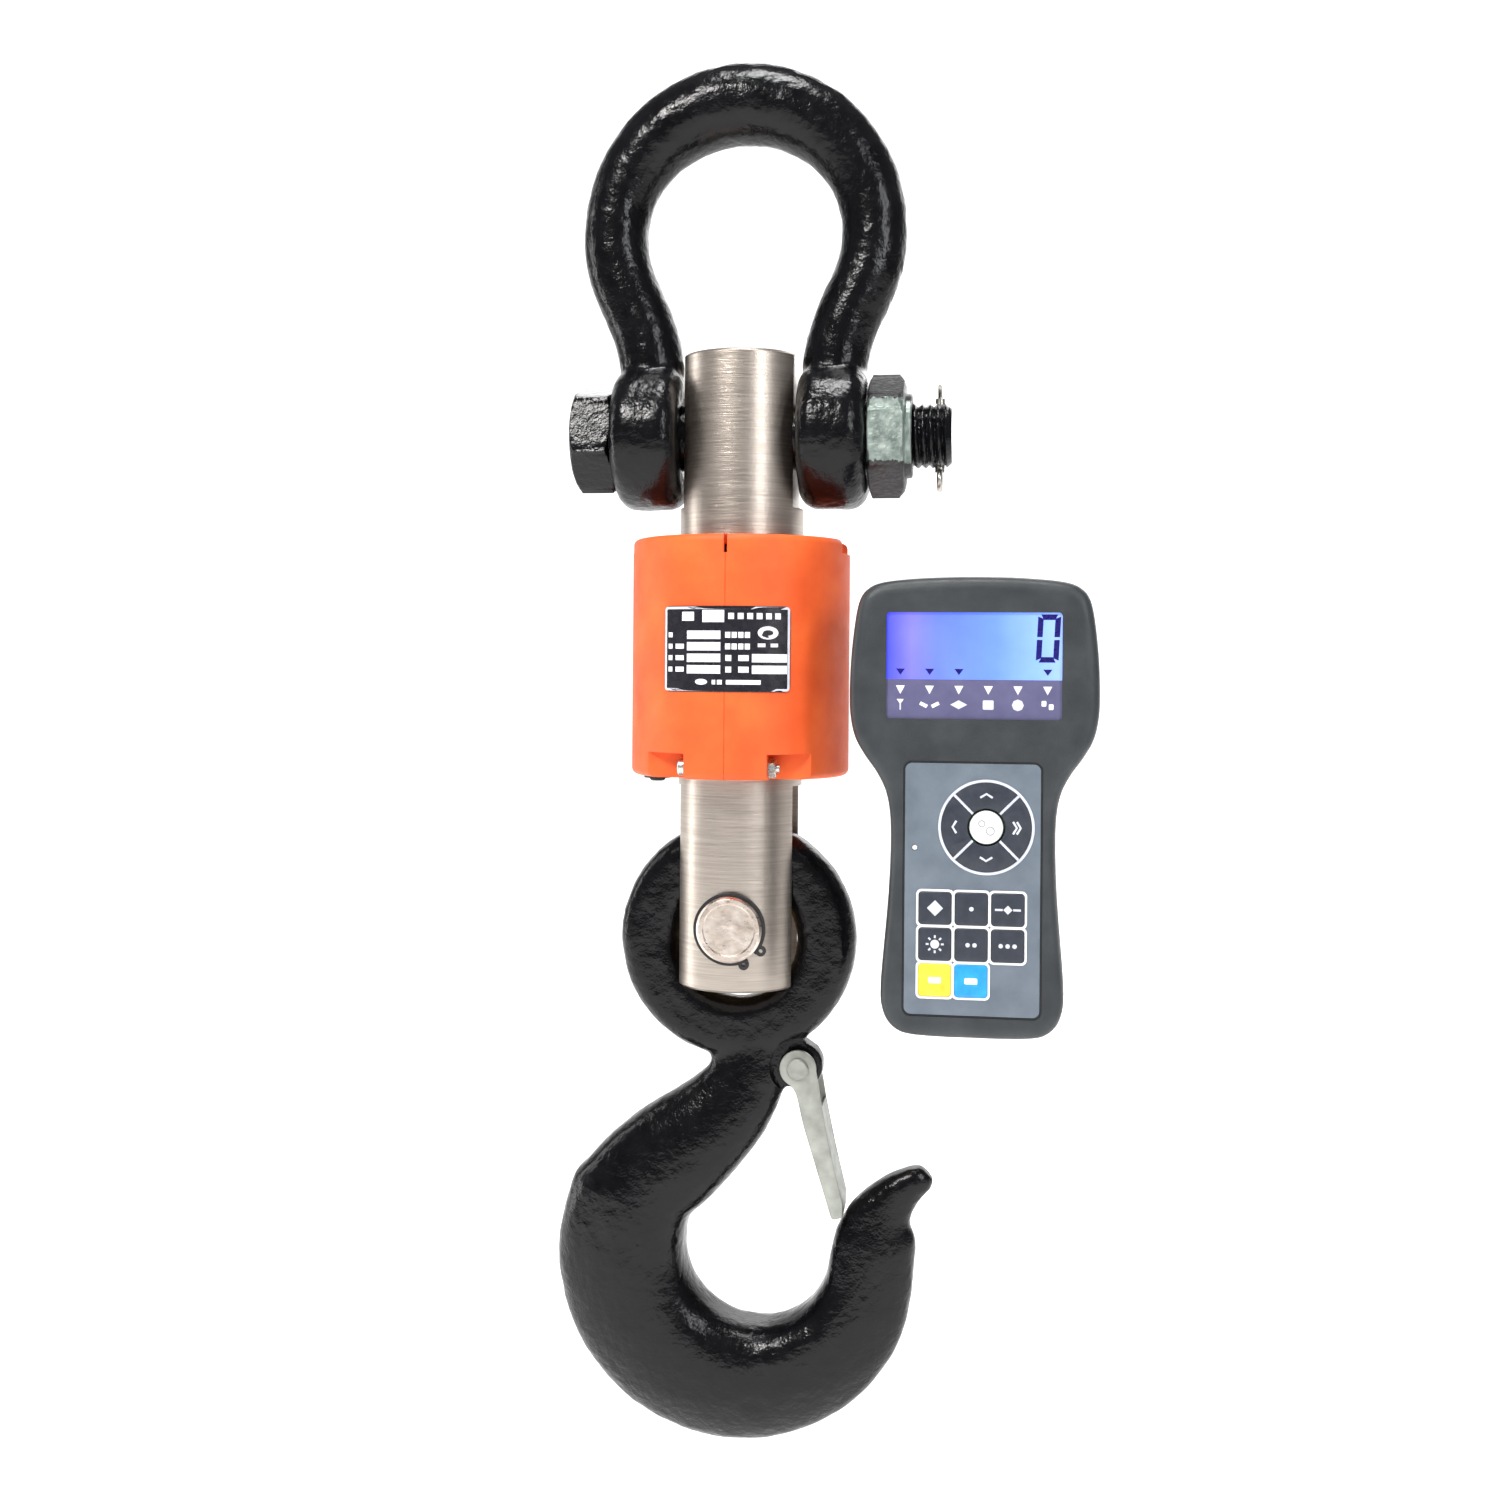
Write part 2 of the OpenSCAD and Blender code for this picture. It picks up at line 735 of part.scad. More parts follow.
module latch_spring() {
    coil_r = latch_pin_r + 1.6;
    turn_steps = 12;
    turns = 2;
    pitch = 1.2;
    color("#8f8f8a")
    for (s = [-1, 1]) {
        coil = [
            for (i = [0:turns * turn_steps])
                [
                    latch_x + coil_r * cos(200 + i * 360 / turn_steps),
                    s * (lug_t / 2 + 0.9 + i * pitch / turn_steps),
                    latch_z + coil_r * sin(200 + i * 360 / turn_steps)
                ]
        ];
        tube(coil, 0.6, 8, [0, 1, 0]);
    }
}

// ---------- Indicator ----------

// Left half of the indicator's outline from its top centre down: the distance from the middle in
// millimetres, and the height as a share of the whole. Smooth curves run through the points.
ind_half = [
    [0, 0.5], [16, 0.4985], [30, 0.494], [40, 0.4865], [45.2, 0.474], [48.6, 0.452],
    [50.6, 0.41], [52.3, 0.335], [53, 0.26], [52.7, 0.2], [50.6, 0.15], [46.3, 0.11],
    [41, 0.072], [37, 0.03], [35.1, -0.025], [34.8, -0.1], [35.6, -0.2], [37.2, -0.3],
    [38.6, -0.385], [38.5, -0.43], [36.2, -0.465], [31.5, -0.488], [25, -0.497], [12, -0.5], [0, -0.5]
];
half_line = [for (p = dense(ind_half, 2)) [-p[0], p[1] * ind_h]];
ind_outline = concat(
    half_line,
    [for (i = [len(half_line) - 2:-1:1]) [-half_line[i][0], half_line[i][1]]]
);

// An outline drawn in by a distance, along its own normals
function inset(p, d) = [
    for (i = [0:len(p) - 1])
        let (t = unit(p[(i + 1) % len(p)] - p[(i + len(p) - 1) % len(p)]))
        p[i] + d * [-t[1], t[0]]
];

// The outline drawn in by a distance, as a ring at a depth behind the front face
function ind_ring(d, depth) = [
    for (p = inset(ind_outline, d)) [p[0], depth, p[1]]
];

module at_indicator() {
    translate([ind_x, -ind_front, -ind_drop]) children();
}

// A plate with round corners in the indicator's frame, between two depths
module ind_plate(w, h, r, near, far) {
    translate([0, (near + far) / 2, 0]) upright(far - near) round_rect(w, h, r);
}

part_depth = 17;
seal_t = 2.4;
lcd_w = 74;
lcd_h = 45.4;
lcd_c = 60.4;
panel_w = 57;
panel_h = 107;
panel_c = -34.6;
nav_c = [5.8, -8];
key_pitch = 15.3;
key_x0 = -0.2 - key_pitch;
key_y0 = -42.7;
key_gap = 0.35;
nav_gap = 0.9;
nav_hub = 0.42;
key_front = -0.5;
key_back = 2.9;
post_spots = [[-45.5, 45], [45.5, 45], [-29.5, -87], [29.5, -87]];

function key_spot(i) = [key_x0 + key_pitch * (i % 3), key_y0 - key_pitch * floor(i / 3)];

module square_key(i, extra = 0, near = key_front, far = key_back) {
    translate([key_spot(i)[0], 0, key_spot(i)[1]])
        ind_plate(key_s + 2 * extra, key_s + 2 * extra, 1.6 + extra, near, far);
}

// A quarter of the navigation ring, facing the direction of turn
module nav_sector(turn) {
    translate([nav_c[0], (key_front + key_back) / 2, nav_c[1]])
        upright(key_back - key_front) rotate(turn) difference() {
            intersection() {
                circle(nav_r);
                translate([nav_gap, 0]) polygon([[0, 0], [30, 30], [30, -30]]);
            }
            circle(nav_r * nav_hub);
        }
}

module nav_centre() {
    translate([nav_c[0], key_front - 0.2, nav_c[1]]) along_y()
        rod(nav_r * nav_hub - 0.9, key_back - key_front + 0.2, 0.5);
}

// The openings that all the keys pass through
module key_openings() {
    translate([nav_c[0], -5, nav_c[1]]) along_y() cylinder(h = 12, r = nav_r + key_gap);
    for (i = [0:7])
        square_key(i, key_gap, -1, 5);
}

module indicator_front_case() {
    w = ind_wall;
    color("#3b3e42")
    at_indicator() difference() {
        union() {
            skin([
                ind_ring(5.5, 0), ind_ring(3, 0.5), ind_ring(1.3, 1.6), ind_ring(0.4, 3.6),
                ind_ring(0, 7), ind_ring(0, part_depth), ind_ring(w, part_depth),
                ind_ring(w, 7), ind_ring(w + 2.4, w)
            ]);
            for (p = post_spots)
                translate([p[0], w - 0.4, p[1]]) along_y() cylinder(h = part_depth - w + 0.4, r = 3.6);
        }
        translate([0, 0, lcd_c]) ind_plate(lcd_w, lcd_h, 1.5, -1, 6);
        translate([0, 0, lcd_c]) ind_plate(lcd_w + 4, lcd_h + 4, 2.5, 1.2, 6);
        translate([0, 0, panel_c]) ind_plate(panel_w + 0.3, panel_h + 0.3, 3.15, -1, 0.8);
        key_openings();
        translate([-24.3, -1, -17.2]) along_y() cylinder(h = 8, r = 1.3);
        for (p = post_spots)
            translate([p[0], 5, p[1]]) along_y() cylinder(h = 20, r = 1.25);
    }
}

door_w = 46;
door_h = 74;
door_c = -44;
jack_y = 25;
jack_r = 4.2;

module indicator_rear_case() {
    w = ind_wall;
    front = part_depth + seal_t;
    color("#3b3e42")
    at_indicator() difference() {
        union() {
            skin([
                ind_ring(w + 3.4, ind_t - w), ind_ring(w, ind_t - 6), ind_ring(w, front),
                ind_ring(0, front), ind_ring(0, ind_t - 8), ind_ring(1, ind_t - 4),
                ind_ring(2.6, ind_t - 1.4), ind_ring(6, ind_t)
            ]);
            for (p = post_spots)
                translate([p[0], front, p[1]]) along_y() cylinder(h = ind_t - front - 1, r = 3.6);
            translate([-7, front, -ind_h / 2 + 1]) cube([14, 11, 3]);
        }
        translate([0, 0, door_c]) ind_plate(door_w, door_h, 3, ind_t - 6, ind_t + 2);
        translate([0, jack_y, -ind_h / 2 - 3]) cylinder(h = 20, r = jack_r + 0.1);
        for (p = post_spots) {
            translate([p[0], front - 1, p[1]]) along_y() cylinder(h = 40, r = 1.7);
            translate([p[0], ind_t - 3.5, p[1]]) along_y() cylinder(h = 10, r = 3);
        }
    }
}

module edge_seal() {
    color("#101112")
    at_indicator() translate([0, part_depth + seal_t / 2, 0]) upright(seal_t - 0.1) difference() {
        polygon(inset(ind_outline, -0.6));
        polygon(inset(ind_outline, ind_wall));
    }
}

module display_window() {
    color("#9fb4ff")
    at_indicator() translate([0, 0, lcd_c]) ind_plate(lcd_w + 3.6, lcd_h + 3.6, 2.3, 1.3, 2.6);
}

module display_module() {
    color("#5a78f0")
    at_indicator() translate([0, 0, lcd_c]) {
        ind_plate(lcd_w + 3, lcd_h + 3, 1, 2.8, 6.2);
        ind_plate(lcd_w - 6, lcd_h - 4, 1, 6.1, 8);
    }
}

module keypad_panel() {
    color("#69727f")
    at_indicator() difference() {
        translate([0, 0, panel_c]) ind_plate(panel_w, panel_h, 3, 0.1, 0.75);
        key_openings();
        translate([-24.3, -1, -17.2]) along_y() cylinder(h = 8, r = 1.3);
    }
}

module nav_up() {
    color("#2f343c") at_indicator() nav_sector(90);
}

module nav_right() {
    color("#2f343c") at_indicator() nav_sector(0);
}

module nav_down() {
    color("#2f343c") at_indicator() nav_sector(270);
}

module nav_left() {
    color("#2f343c") at_indicator() nav_sector(180);
}

module nav_ok() {
    color("#e9e7e2") at_indicator() nav_centre();
}

module dark_key(i) {
    color("#2f343f") at_indicator() square_key(i);
}

module key_1() {
    dark_key(0);
}

module key_2() {
    dark_key(1);
}

module key_3() {
    dark_key(2);
}

module key_4() {
    dark_key(3);
}

module key_5() {
    dark_key(4);
}

module key_6() {
    dark_key(5);
}

module key_yellow() {
    color("#fad53c") at_indicator() square_key(6);
}

module key_blue() {
    color("#1ea0eb") at_indicator() square_key(7);
}

module indicator_board() {
    color("#1e6b3c")
    at_indicator() {
        translate([0, 0, panel_c + 6]) ind_plate(56, 90, 2, 4.2, 5.8);
        translate([-14, 5.7, -20]) cube([20, 2.5, 20]);
        translate([-20, 5.7, -60]) cube([14, 3, 12]);
    }
}

module indicator_battery() {
    color("#4b78b8")
    at_indicator() translate([0, 0, door_c]) ind_plate(40, 62, 3, 20.5, 32.2);
}

module battery_door() {
    color("#35383c")
    at_indicator() translate([0, 0, door_c]) {
        ind_plate(door_w - 0.4, door_h - 0.4, 2.8, ind_t - 2.2, ind_t - 0.05);
        for (i = [0:4])
            translate([-10, ind_t - 0.2, 24 + 2.4 * i]) cube([20, 0.6, 1]);
    }
}

module case_screws() {
    color("#77787a")
    at_indicator() for (p = post_spots)
        translate([p[0], 0, p[1]]) {
            translate([0, 7, 0]) along_y() rod(1.2, ind_t - 10.4, 0.3);
            translate([0, ind_t - 3.4, 0]) along_y() difference() {
                rod(2.7, 2, 0.4);
                translate([0, 0, 1]) cylinder(h = 2, r = 1.2, $fn = 6);
            }
        }
}

module status_light() {
    color("#f4f4ee")
    at_indicator() translate([-24.3, 0.2, -17.2]) along_y() rod(1.15, 3.8, 0.3);
}

module charge_jack() {
    color("#c9cacc")
    at_indicator() translate([0, jack_y, -ind_h / 2 - 0.9]) {
        ring(2.75, 5.4, 0.8);
        translate([0, 0, 0.7]) ring(2.75, jack_r, 9.5);
        translate([0, 0, 10.1]) cylinder(h = 1.5, r = jack_r);
    }
}

shackle_bow();
shackle_bolt();
shackle_nut();
cotter_pin();
load_body();
hook_pin();
circlips();
spacer_sleeve();
housing_left();
housing_right();
top_seal();
bottom_seal();
nameplate();
clamp_screws();
clamp_nuts();
side_screws();
strain_gauges();
gauge_leads();
transmitter_board();
antenna();
battery_cells();
battery_holders();
power_button();
button_collar();
charge_socket();
dust_cap();
hook();
hook_latch();
latch_pin();
latch_spring();
indicator_front_case();
indicator_rear_case();
edge_seal();
display_window();
display_module();
keypad_panel();
nav_up();
nav_right();
nav_down();
nav_left();
nav_ok();
key_1();
key_2();
key_3();
key_4();
key_5();
key_6();
key_yellow();
key_blue();
indicator_board();
indicator_battery();
battery_door();
case_screws();
status_light();
charge_jack();
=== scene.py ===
import json
import math

import bmesh
import bpy
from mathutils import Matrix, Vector, noise


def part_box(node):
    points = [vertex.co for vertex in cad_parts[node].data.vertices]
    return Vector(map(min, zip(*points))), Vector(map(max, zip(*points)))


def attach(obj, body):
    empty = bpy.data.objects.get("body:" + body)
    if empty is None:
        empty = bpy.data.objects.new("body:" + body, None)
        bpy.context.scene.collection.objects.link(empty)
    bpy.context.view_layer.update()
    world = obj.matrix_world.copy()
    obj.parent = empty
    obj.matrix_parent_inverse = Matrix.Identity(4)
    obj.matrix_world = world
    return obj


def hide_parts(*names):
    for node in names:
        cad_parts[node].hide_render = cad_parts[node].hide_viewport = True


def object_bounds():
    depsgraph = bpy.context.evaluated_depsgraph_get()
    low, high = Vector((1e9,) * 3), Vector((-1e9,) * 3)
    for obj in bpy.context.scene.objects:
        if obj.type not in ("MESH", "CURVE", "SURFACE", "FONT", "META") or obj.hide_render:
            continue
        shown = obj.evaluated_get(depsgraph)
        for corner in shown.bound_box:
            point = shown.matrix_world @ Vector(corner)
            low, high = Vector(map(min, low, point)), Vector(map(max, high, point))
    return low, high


# Shapes are drawn in millimetres, which make_object() turns into metres. Materials, lights and the
# camera are in metres.
MM = 0.001

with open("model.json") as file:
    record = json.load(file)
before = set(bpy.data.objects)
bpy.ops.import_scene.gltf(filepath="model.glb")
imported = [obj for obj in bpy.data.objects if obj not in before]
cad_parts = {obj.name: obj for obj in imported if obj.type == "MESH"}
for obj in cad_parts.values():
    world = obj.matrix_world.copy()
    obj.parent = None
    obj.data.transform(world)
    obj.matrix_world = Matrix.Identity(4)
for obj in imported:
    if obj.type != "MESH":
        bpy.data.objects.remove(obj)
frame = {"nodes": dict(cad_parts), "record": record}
cad_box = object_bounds()
nodes = frame["nodes"]


def node_box(name):
    """A CAD node's lowest and highest corners, in millimetres."""
    low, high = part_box(name)
    return low / MM, high / MM


# ---------- Materials ----------

EVEN = (1, 1, 1)
NOISE_LOW, NOISE_HIGH = 0.3, 0.7    # the range that nearly all of Blender's noise stays in
MIX_FACTOR, MIX_A, MIX_B, MIX_RESULT = 0, 6, 7, 2    # a mix node's sockets when it mixes colours


def feed(tree, node, inputs):
    """Sets a node's sockets, each to a constant or from another node's output."""
    for key, value in inputs.items():
        if isinstance(value, bpy.types.NodeSocket):
            tree.links.new(value, node.inputs[key])
        else:
            node.inputs[key].default_value = value


def add_node(tree, kind, inputs=None, **settings):
    node = tree.nodes.new(kind)
    for key, value in settings.items():
        setattr(node, key, value)
    feed(tree, node, inputs or {})
    return node


def add_math(tree, operation, *values, clamp=False):
    node = add_node(tree, "ShaderNodeMath", dict(enumerate(values)), operation=operation, use_clamp=clamp)
    return node.outputs[0]


def own_coords(tree):
    return add_node(tree, "ShaderNodeTexCoord").outputs["Object"]


def noise_at(tree, coords, scale, detail=4.0, stretch=EVEN):
    """Noise over the object's own coordinates; scale is in features per metre."""
    mapping = add_node(tree, "ShaderNodeMapping", {"Vector": coords, "Scale": stretch})
    texture = add_node(tree, "ShaderNodeTexNoise", {
        "Vector": mapping.outputs["Vector"], "Scale": scale, "Detail": detail})
    return texture.outputs["Fac"]


def ramp(tree, stops, source):
    """Turns a value into a colour; stops is a list of (value, colour)."""
    node = add_node(tree, "ShaderNodeValToRGB", {"Fac": source})
    elements = node.color_ramp.elements
    while len(elements) < len(stops):
        elements.new(0.5)
    for element, (place, colour) in zip(elements, stops):
        element.position = place
        element.color = (*colour, 1)
    return node.outputs["Color"]


def new_material(name):
    material = bpy.data.materials.new(name)
    material.use_nodes = True
    return material, material.node_tree, material.node_tree.nodes["Principled BSDF"]


def finish(name, shades, rough, metal=0.0, mottle=60.0, stretch=EVEN, bumps=(),
           coat=0.0, soft_edge=0.0, specular=0.5, glow=0.0):
    """A procedural surface: shades mottle into each other, and roughness and relief vary with noise.
    rough is the lowest and highest roughness, mottle is in features per metre, soft_edge is a radius,
    and bumps is a list of (features per metre, depth, stretch)."""
    material, tree, shader = new_material(name)
    coords = own_coords(tree)
    base = noise_at(tree, coords, mottle, 5.0, stretch)
    places = [NOISE_LOW + (NOISE_HIGH - NOISE_LOW) * i / (len(shades) - 1) for i in range(len(shades))]
    colour = ramp(tree, list(zip(places, shades)), base)
    spread = noise_at(tree, coords, mottle * 2.7, 3.0, stretch)
    roughness = add_node(tree, "ShaderNodeMapRange", {
        "Value": spread, "From Min": NOISE_LOW, "From Max": NOISE_HIGH,
        "To Min": rough[0], "To Max": rough[1]})
    feed(tree, shader, {
        "Base Color": colour, "Roughness": roughness.outputs["Result"], "Metallic": metal,
        "Specular IOR Level": specular, "Coat Weight": coat, "Coat Roughness": 0.12})
    if glow:
        feed(tree, shader, {"Emission Color": colour, "Emission Strength": glow})
    normal = None
    if soft_edge:
        normal = add_node(tree, "ShaderNodeBevel", {"Radius": soft_edge}, samples=4).outputs["Normal"]
    for scale, depth, along in bumps:
        relief = noise_at(tree, coords, scale, 3.0, along)
        bump = add_node(tree, "ShaderNodeBump", {"Height": relief, "Strength": 1.0, "Distance": depth})
        if normal:
            feed(tree, bump, {"Normal": normal})
        normal = bump.outputs["Normal"]
    if normal:
        feed(tree, shader, {"Normal": normal})
    return material


TURNED = (1, 1, 40)    # fine grain round an upright axis

FINISHES = {}    # by the record's material slot


def slot_finish(slot, *look, **settings):
    FINISHES[slot] = finish(slot, *look, **settings)


slot_finish(
    "black_gloss", [(0.0015, 0.0015, 0.002), (0.004, 0.004, 0.005)], (0.14, 0.24), mottle=90,
    bumps=[(300, 0.0004, EVEN), (1000, 0.00012, EVEN)], specular=0.26)
slot_finish(
    "zinc", [(0.16, 0.20, 0.18), (0.30, 0.36, 0.33), (0.46, 0.52, 0.47)], (0.34, 0.55), metal=0.75,
    mottle=160, bumps=[(500, 0.0003, EVEN)], soft_edge=0.0006)
slot_finish(
    "wire_steel", [(0.35, 0.34, 0.30), (0.55, 0.54, 0.50)], (0.25, 0.42), metal=1.0, mottle=400,
    bumps=[(1500, 0.00004, EVEN)])
slot_finish(
    "stainless", [(0.44, 0.38, 0.33), (0.50, 0.44, 0.385), (0.57, 0.505, 0.445)], (0.30, 0.42),
    metal=1.0, mottle=30, stretch=TURNED, bumps=[(60, 0.00007, (1, 1, 60)), (500, 0.00002, EVEN)],
    soft_edge=0.0005)
slot_finish(
    "pin_steel", [(0.50, 0.42, 0.36), (0.66, 0.57, 0.50), (0.80, 0.72, 0.65)], (0.24, 0.44),
    metal=1.0, mottle=140, bumps=[(260, 0.0002, EVEN)], soft_edge=0.0004)
slot_finish(
    "spring_black", [(0.008, 0.008, 0.009), (0.02, 0.019, 0.02)], (0.28, 0.45), mottle=300,
    bumps=[(900, 0.00006, EVEN)], soft_edge=0.0003)
slot_finish(
    "bronze", [(0.32, 0.20, 0.08), (0.48, 0.32, 0.14)], (0.3, 0.45), metal=1.0, mottle=120,
    bumps=[(400, 0.00006, (1, 30, 1))])
slot_finish(
    "orange", [(0.76, 0.092, 0.014), (0.83, 0.112, 0.018), (0.89, 0.140, 0.025)], (0.46, 0.60),
    mottle=45, bumps=[(1900, 0.00009, EVEN), (150, 0.00010, EVEN)], soft_edge=0.0007, specular=0.4)
slot_finish(
    "rubber", [(0.010, 0.010, 0.010), (0.020, 0.020, 0.021)], (0.55, 0.75), mottle=200,
    bumps=[(1600, 0.00008, EVEN)], soft_edge=0.0003)
slot_finish(
    "plate", [(0.006, 0.006, 0.010), (0.014, 0.013, 0.020)], (0.22, 0.34), mottle=120,
    bumps=[(900, 0.00003, EVEN)], coat=0.4)
slot_finish(
    "screw", [(0.45, 0.44, 0.42), (0.68, 0.67, 0.63)], (0.22, 0.36), metal=1.0, mottle=500,
    bumps=[(1500, 0.00005, EVEN)], soft_edge=0.0002)
slot_finish(
    "foil", [(0.50, 0.26, 0.09), (0.66, 0.38, 0.15)], (0.3, 0.5), mottle=900,
    bumps=[(2500, 0.00003, (8, 1, 1))])
slot_finish("lead_red", [(0.28, 0.01, 0.01), (0.40, 0.02, 0.02)], (0.35, 0.5), mottle=400)
slot_finish(
    "pcb", [(0.006, 0.085, 0.030), (0.012, 0.14, 0.05)], (0.25, 0.4), mottle=350,
    bumps=[(700, 0.0001, EVEN)], coat=0.3)
slot_finish(
    "cell", [(0.02, 0.08, 0.28), (0.04, 0.13, 0.40)], (0.22, 0.34), mottle=100,
    bumps=[(300, 0.00008, (1, 1, 0.2))])
slot_finish(
    "black_plastic", [(0.014, 0.014, 0.016), (0.024, 0.024, 0.026)], (0.42, 0.58), mottle=200,
    bumps=[(1800, 0.00006, EVEN)], soft_edge=0.0003)
slot_finish(
    "latch_zinc", [(0.25, 0.26, 0.235), (0.33, 0.34, 0.305), (0.40, 0.41, 0.37)], (0.36, 0.52),
    metal=0.6, mottle=120, bumps=[(700, 0.00007, EVEN)], soft_edge=0.0004)
slot_finish(
    "case_charcoal", [(0.022, 0.026, 0.029), (0.028, 0.033, 0.036), (0.036, 0.042, 0.045)],
    (0.40, 0.52), mottle=70, bumps=[(2200, 0.00007, EVEN), (260, 0.00005, EVEN)], specular=0.45)
slot_finish(
    "panel_slate", [(0.108, 0.135, 0.168), (0.130, 0.160, 0.196), (0.150, 0.182, 0.220)],
    (0.34, 0.46), mottle=90, bumps=[(2600, 0.00005, EVEN)])
slot_finish(
    "key_dark", [(0.018, 0.023, 0.035), (0.030, 0.036, 0.052)], (0.36, 0.5), mottle=220,
    bumps=[(2400, 0.00005, EVEN)])
slot_finish(
    "key_white", [(0.70, 0.69, 0.68), (0.86, 0.85, 0.84)], (0.3, 0.42), mottle=260,
    bumps=[(1400, 0.00006, EVEN)])
slot_finish(
    "key_yellow", [(0.86, 0.55, 0.025), (0.95, 0.69, 0.06)], (0.34, 0.46), mottle=200,
    bumps=[(2000, 0.00005, EVEN)])
slot_finish(
    "key_blue", [(0.008, 0.27, 0.70), (0.020, 0.38, 0.84)], (0.34, 0.46), mottle=200,
    bumps=[(2000, 0.00005, EVEN)])
slot_finish("led", [(0.80, 0.80, 0.76), (0.92, 0.92, 0.90)], (0.15, 0.25), mottle=600)
slot_finish(
    "nickel", [(0.55, 0.54, 0.52), (0.74, 0.73, 0.71)], (0.16, 0.3), metal=1.0, mottle=400,
    bumps=[(1200, 0.00004, EVEN)])
slot_finish(
    "lcd_glass", [(0.10, 0.16, 0.60), (0.14, 0.22, 0.75)], (0.08, 0.16), mottle=40, coat=0.6)
slot_finish("lcd", [(0.05, 0.11, 0.62), (0.09, 0.18, 0.80)], (0.2, 0.3), mottle=60)
PRINT_PALE = finish(
    "print_pale", [(0.56, 0.58, 0.66), (0.68, 0.70, 0.78)], (0.4, 0.55), mottle=300,
    bumps=[(2000, 0.00003, EVEN)])
PRINT_WHITE = finish(
    "print_white", [(0.80, 0.80, 0.84), (0.93, 0.93, 0.96)], (0.35, 0.5), mottle=500,
    bumps=[(1500, 0.00003, EVEN)])
PRINT_GREY = finish("print_grey", [(0.28, 0.28, 0.29), (0.40, 0.40, 0.41)], (0.4, 0.5), mottle=500)
GROOVE_BLACK = finish(
    "groove_black", [(0.004, 0.005, 0.006), (0.009, 0.010, 0.012)], (0.5, 0.65), mottle=300)
LCD_INK = finish("lcd_ink", [(0.006, 0.003, 0.10), (0.012, 0.006, 0.16)], (0.25, 0.35), mottle=300)
LCD_STRIP = finish(
    "lcd_strip", [(0.085, 0.080, 0.165), (0.105, 0.100, 0.190)], (0.3, 0.4), mottle=120, glow=0.25,
    bumps=[(2600, 0.00002, EVEN)])


def backlight_material():
    """The lit display: blue, paler to the right and violet near the left, with faint dirt."""
    material, tree, shader = new_material("lcd_backlight")
    coords = own_coords(tree)
    low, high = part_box("display_window")
    width = high.x - low.x
    across = add_node(tree, "ShaderNodeMapping", {
        "Vector": coords, "Location": (-low.x / width, 0, 0), "Scale": (1 / width, 1, 1)})
    split = add_node(tree, "ShaderNodeSeparateXYZ", {"Vector": across.outputs["Vector"]})
    glow = ramp(tree, [
        (0.0, (0.045, 0.060, 0.90)), (0.16, (0.17, 0.16, 0.92)), (0.30, (0.115, 0.170, 1.0)),
        (0.62, (0.125, 0.235, 1.0)), (0.86, (0.215, 0.370, 1.0)), (1.0, (0.30, 0.45, 1.0)),
    ], split.outputs["X"])
    cloud = noise_at(tree, coords, 45)
    shade = ramp(tree, [(NOISE_LOW, (0.80, 0.82, 0.90)), (NOISE_HIGH, (1, 1, 1))], cloud)
    mix = add_node(tree, "ShaderNodeMix", {MIX_FACTOR: 1.0, MIX_A: glow, MIX_B: shade},
                   data_type="RGBA", blend_type="MULTIPLY")
    lit = mix.outputs[MIX_RESULT]
    feed(tree, shader, {
        "Base Color": lit, "Emission Color": lit, "Emission Strength": 0.62, "Roughness": 0.22})
    return material


LCD_LIT = backlight_material()


def finish_cad_nodes():
    for part in frame["record"]["subparts"]:
        surface = nodes[part["node"]].data
        surface.materials.clear()
        surface.materials.append(FINISHES[part["material_slot"]])


def zinc_nut_material(axis_z):
    """The nut is zinc, with painted shade: only its front flat keeps the zinc colour, and the flats above,
    below and behind it are coloured near-black.
    """
    # Painted shade starts this far above and below the bolt's axis, with a ragged, soft edge.
    shade_edge, ragged_by, soft_by, zinc_metal = 0.0140, 0.0045, 0.0004, 0.75
    material = FINISHES["zinc"].copy()
    material.name = "zinc_painted_shade"
    tree = material.node_tree
    shader = tree.nodes["Principled BSDF"]
    zinc_colour = shader.inputs["Base Color"].links[0].from_socket
    coords = own_coords(tree)
    split = add_node(tree, "ShaderNodeSeparateXYZ", {"Vector": coords})
    away = add_math(tree, "ABSOLUTE", add_math(tree, "SUBTRACT", split.outputs["Z"], axis_z))
    speckle = noise_at(tree, coords, 700)
    ragged = add_math(tree, "MULTIPLY_ADD", speckle, ragged_by, -ragged_by / 2)
    mask = add_node(tree, "ShaderNodeMapRange", {
        "Value": add_math(tree, "ADD", away, ragged),
        "From Min": shade_edge - soft_by, "From Max": shade_edge + soft_by})
    behind = add_math(tree, "GREATER_THAN", split.outputs["Y"], 0.0)
    shaded_flats = add_math(tree, "MAXIMUM", mask.outputs["Result"], behind)
    # Painted shade: near-black, with less metal, on the flats that turn away from the front.
    mix = add_node(tree, "ShaderNodeMix", {
        MIX_FACTOR: shaded_flats, MIX_A: zinc_colour, MIX_B: (0.006, 0.006, 0.007, 1)}, data_type="RGBA")
    metal = add_math(tree, "SUBTRACT", zinc_metal, shaded_flats, clamp=True)
    feed(tree, shader, {"Base Color": mix.outputs[MIX_RESULT], "Metallic": metal})
    return material


# ---------- Mesh tools ----------

def make_object(name, verts, faces, materials, indices=None, sharp_deg=35):
    mesh = bpy.data.meshes.new(name)
    mesh.from_pydata([Vector(v) * MM for v in verts], [], faces)
    for material in materials:
        mesh.materials.append(material)
    if indices:
        mesh.polygons.foreach_set("material_index", indices)
    obj = bpy.data.objects.new(name, mesh)
    bpy.context.scene.collection.objects.link(obj)
    tidy_mesh(obj, sharp_deg)
    return obj


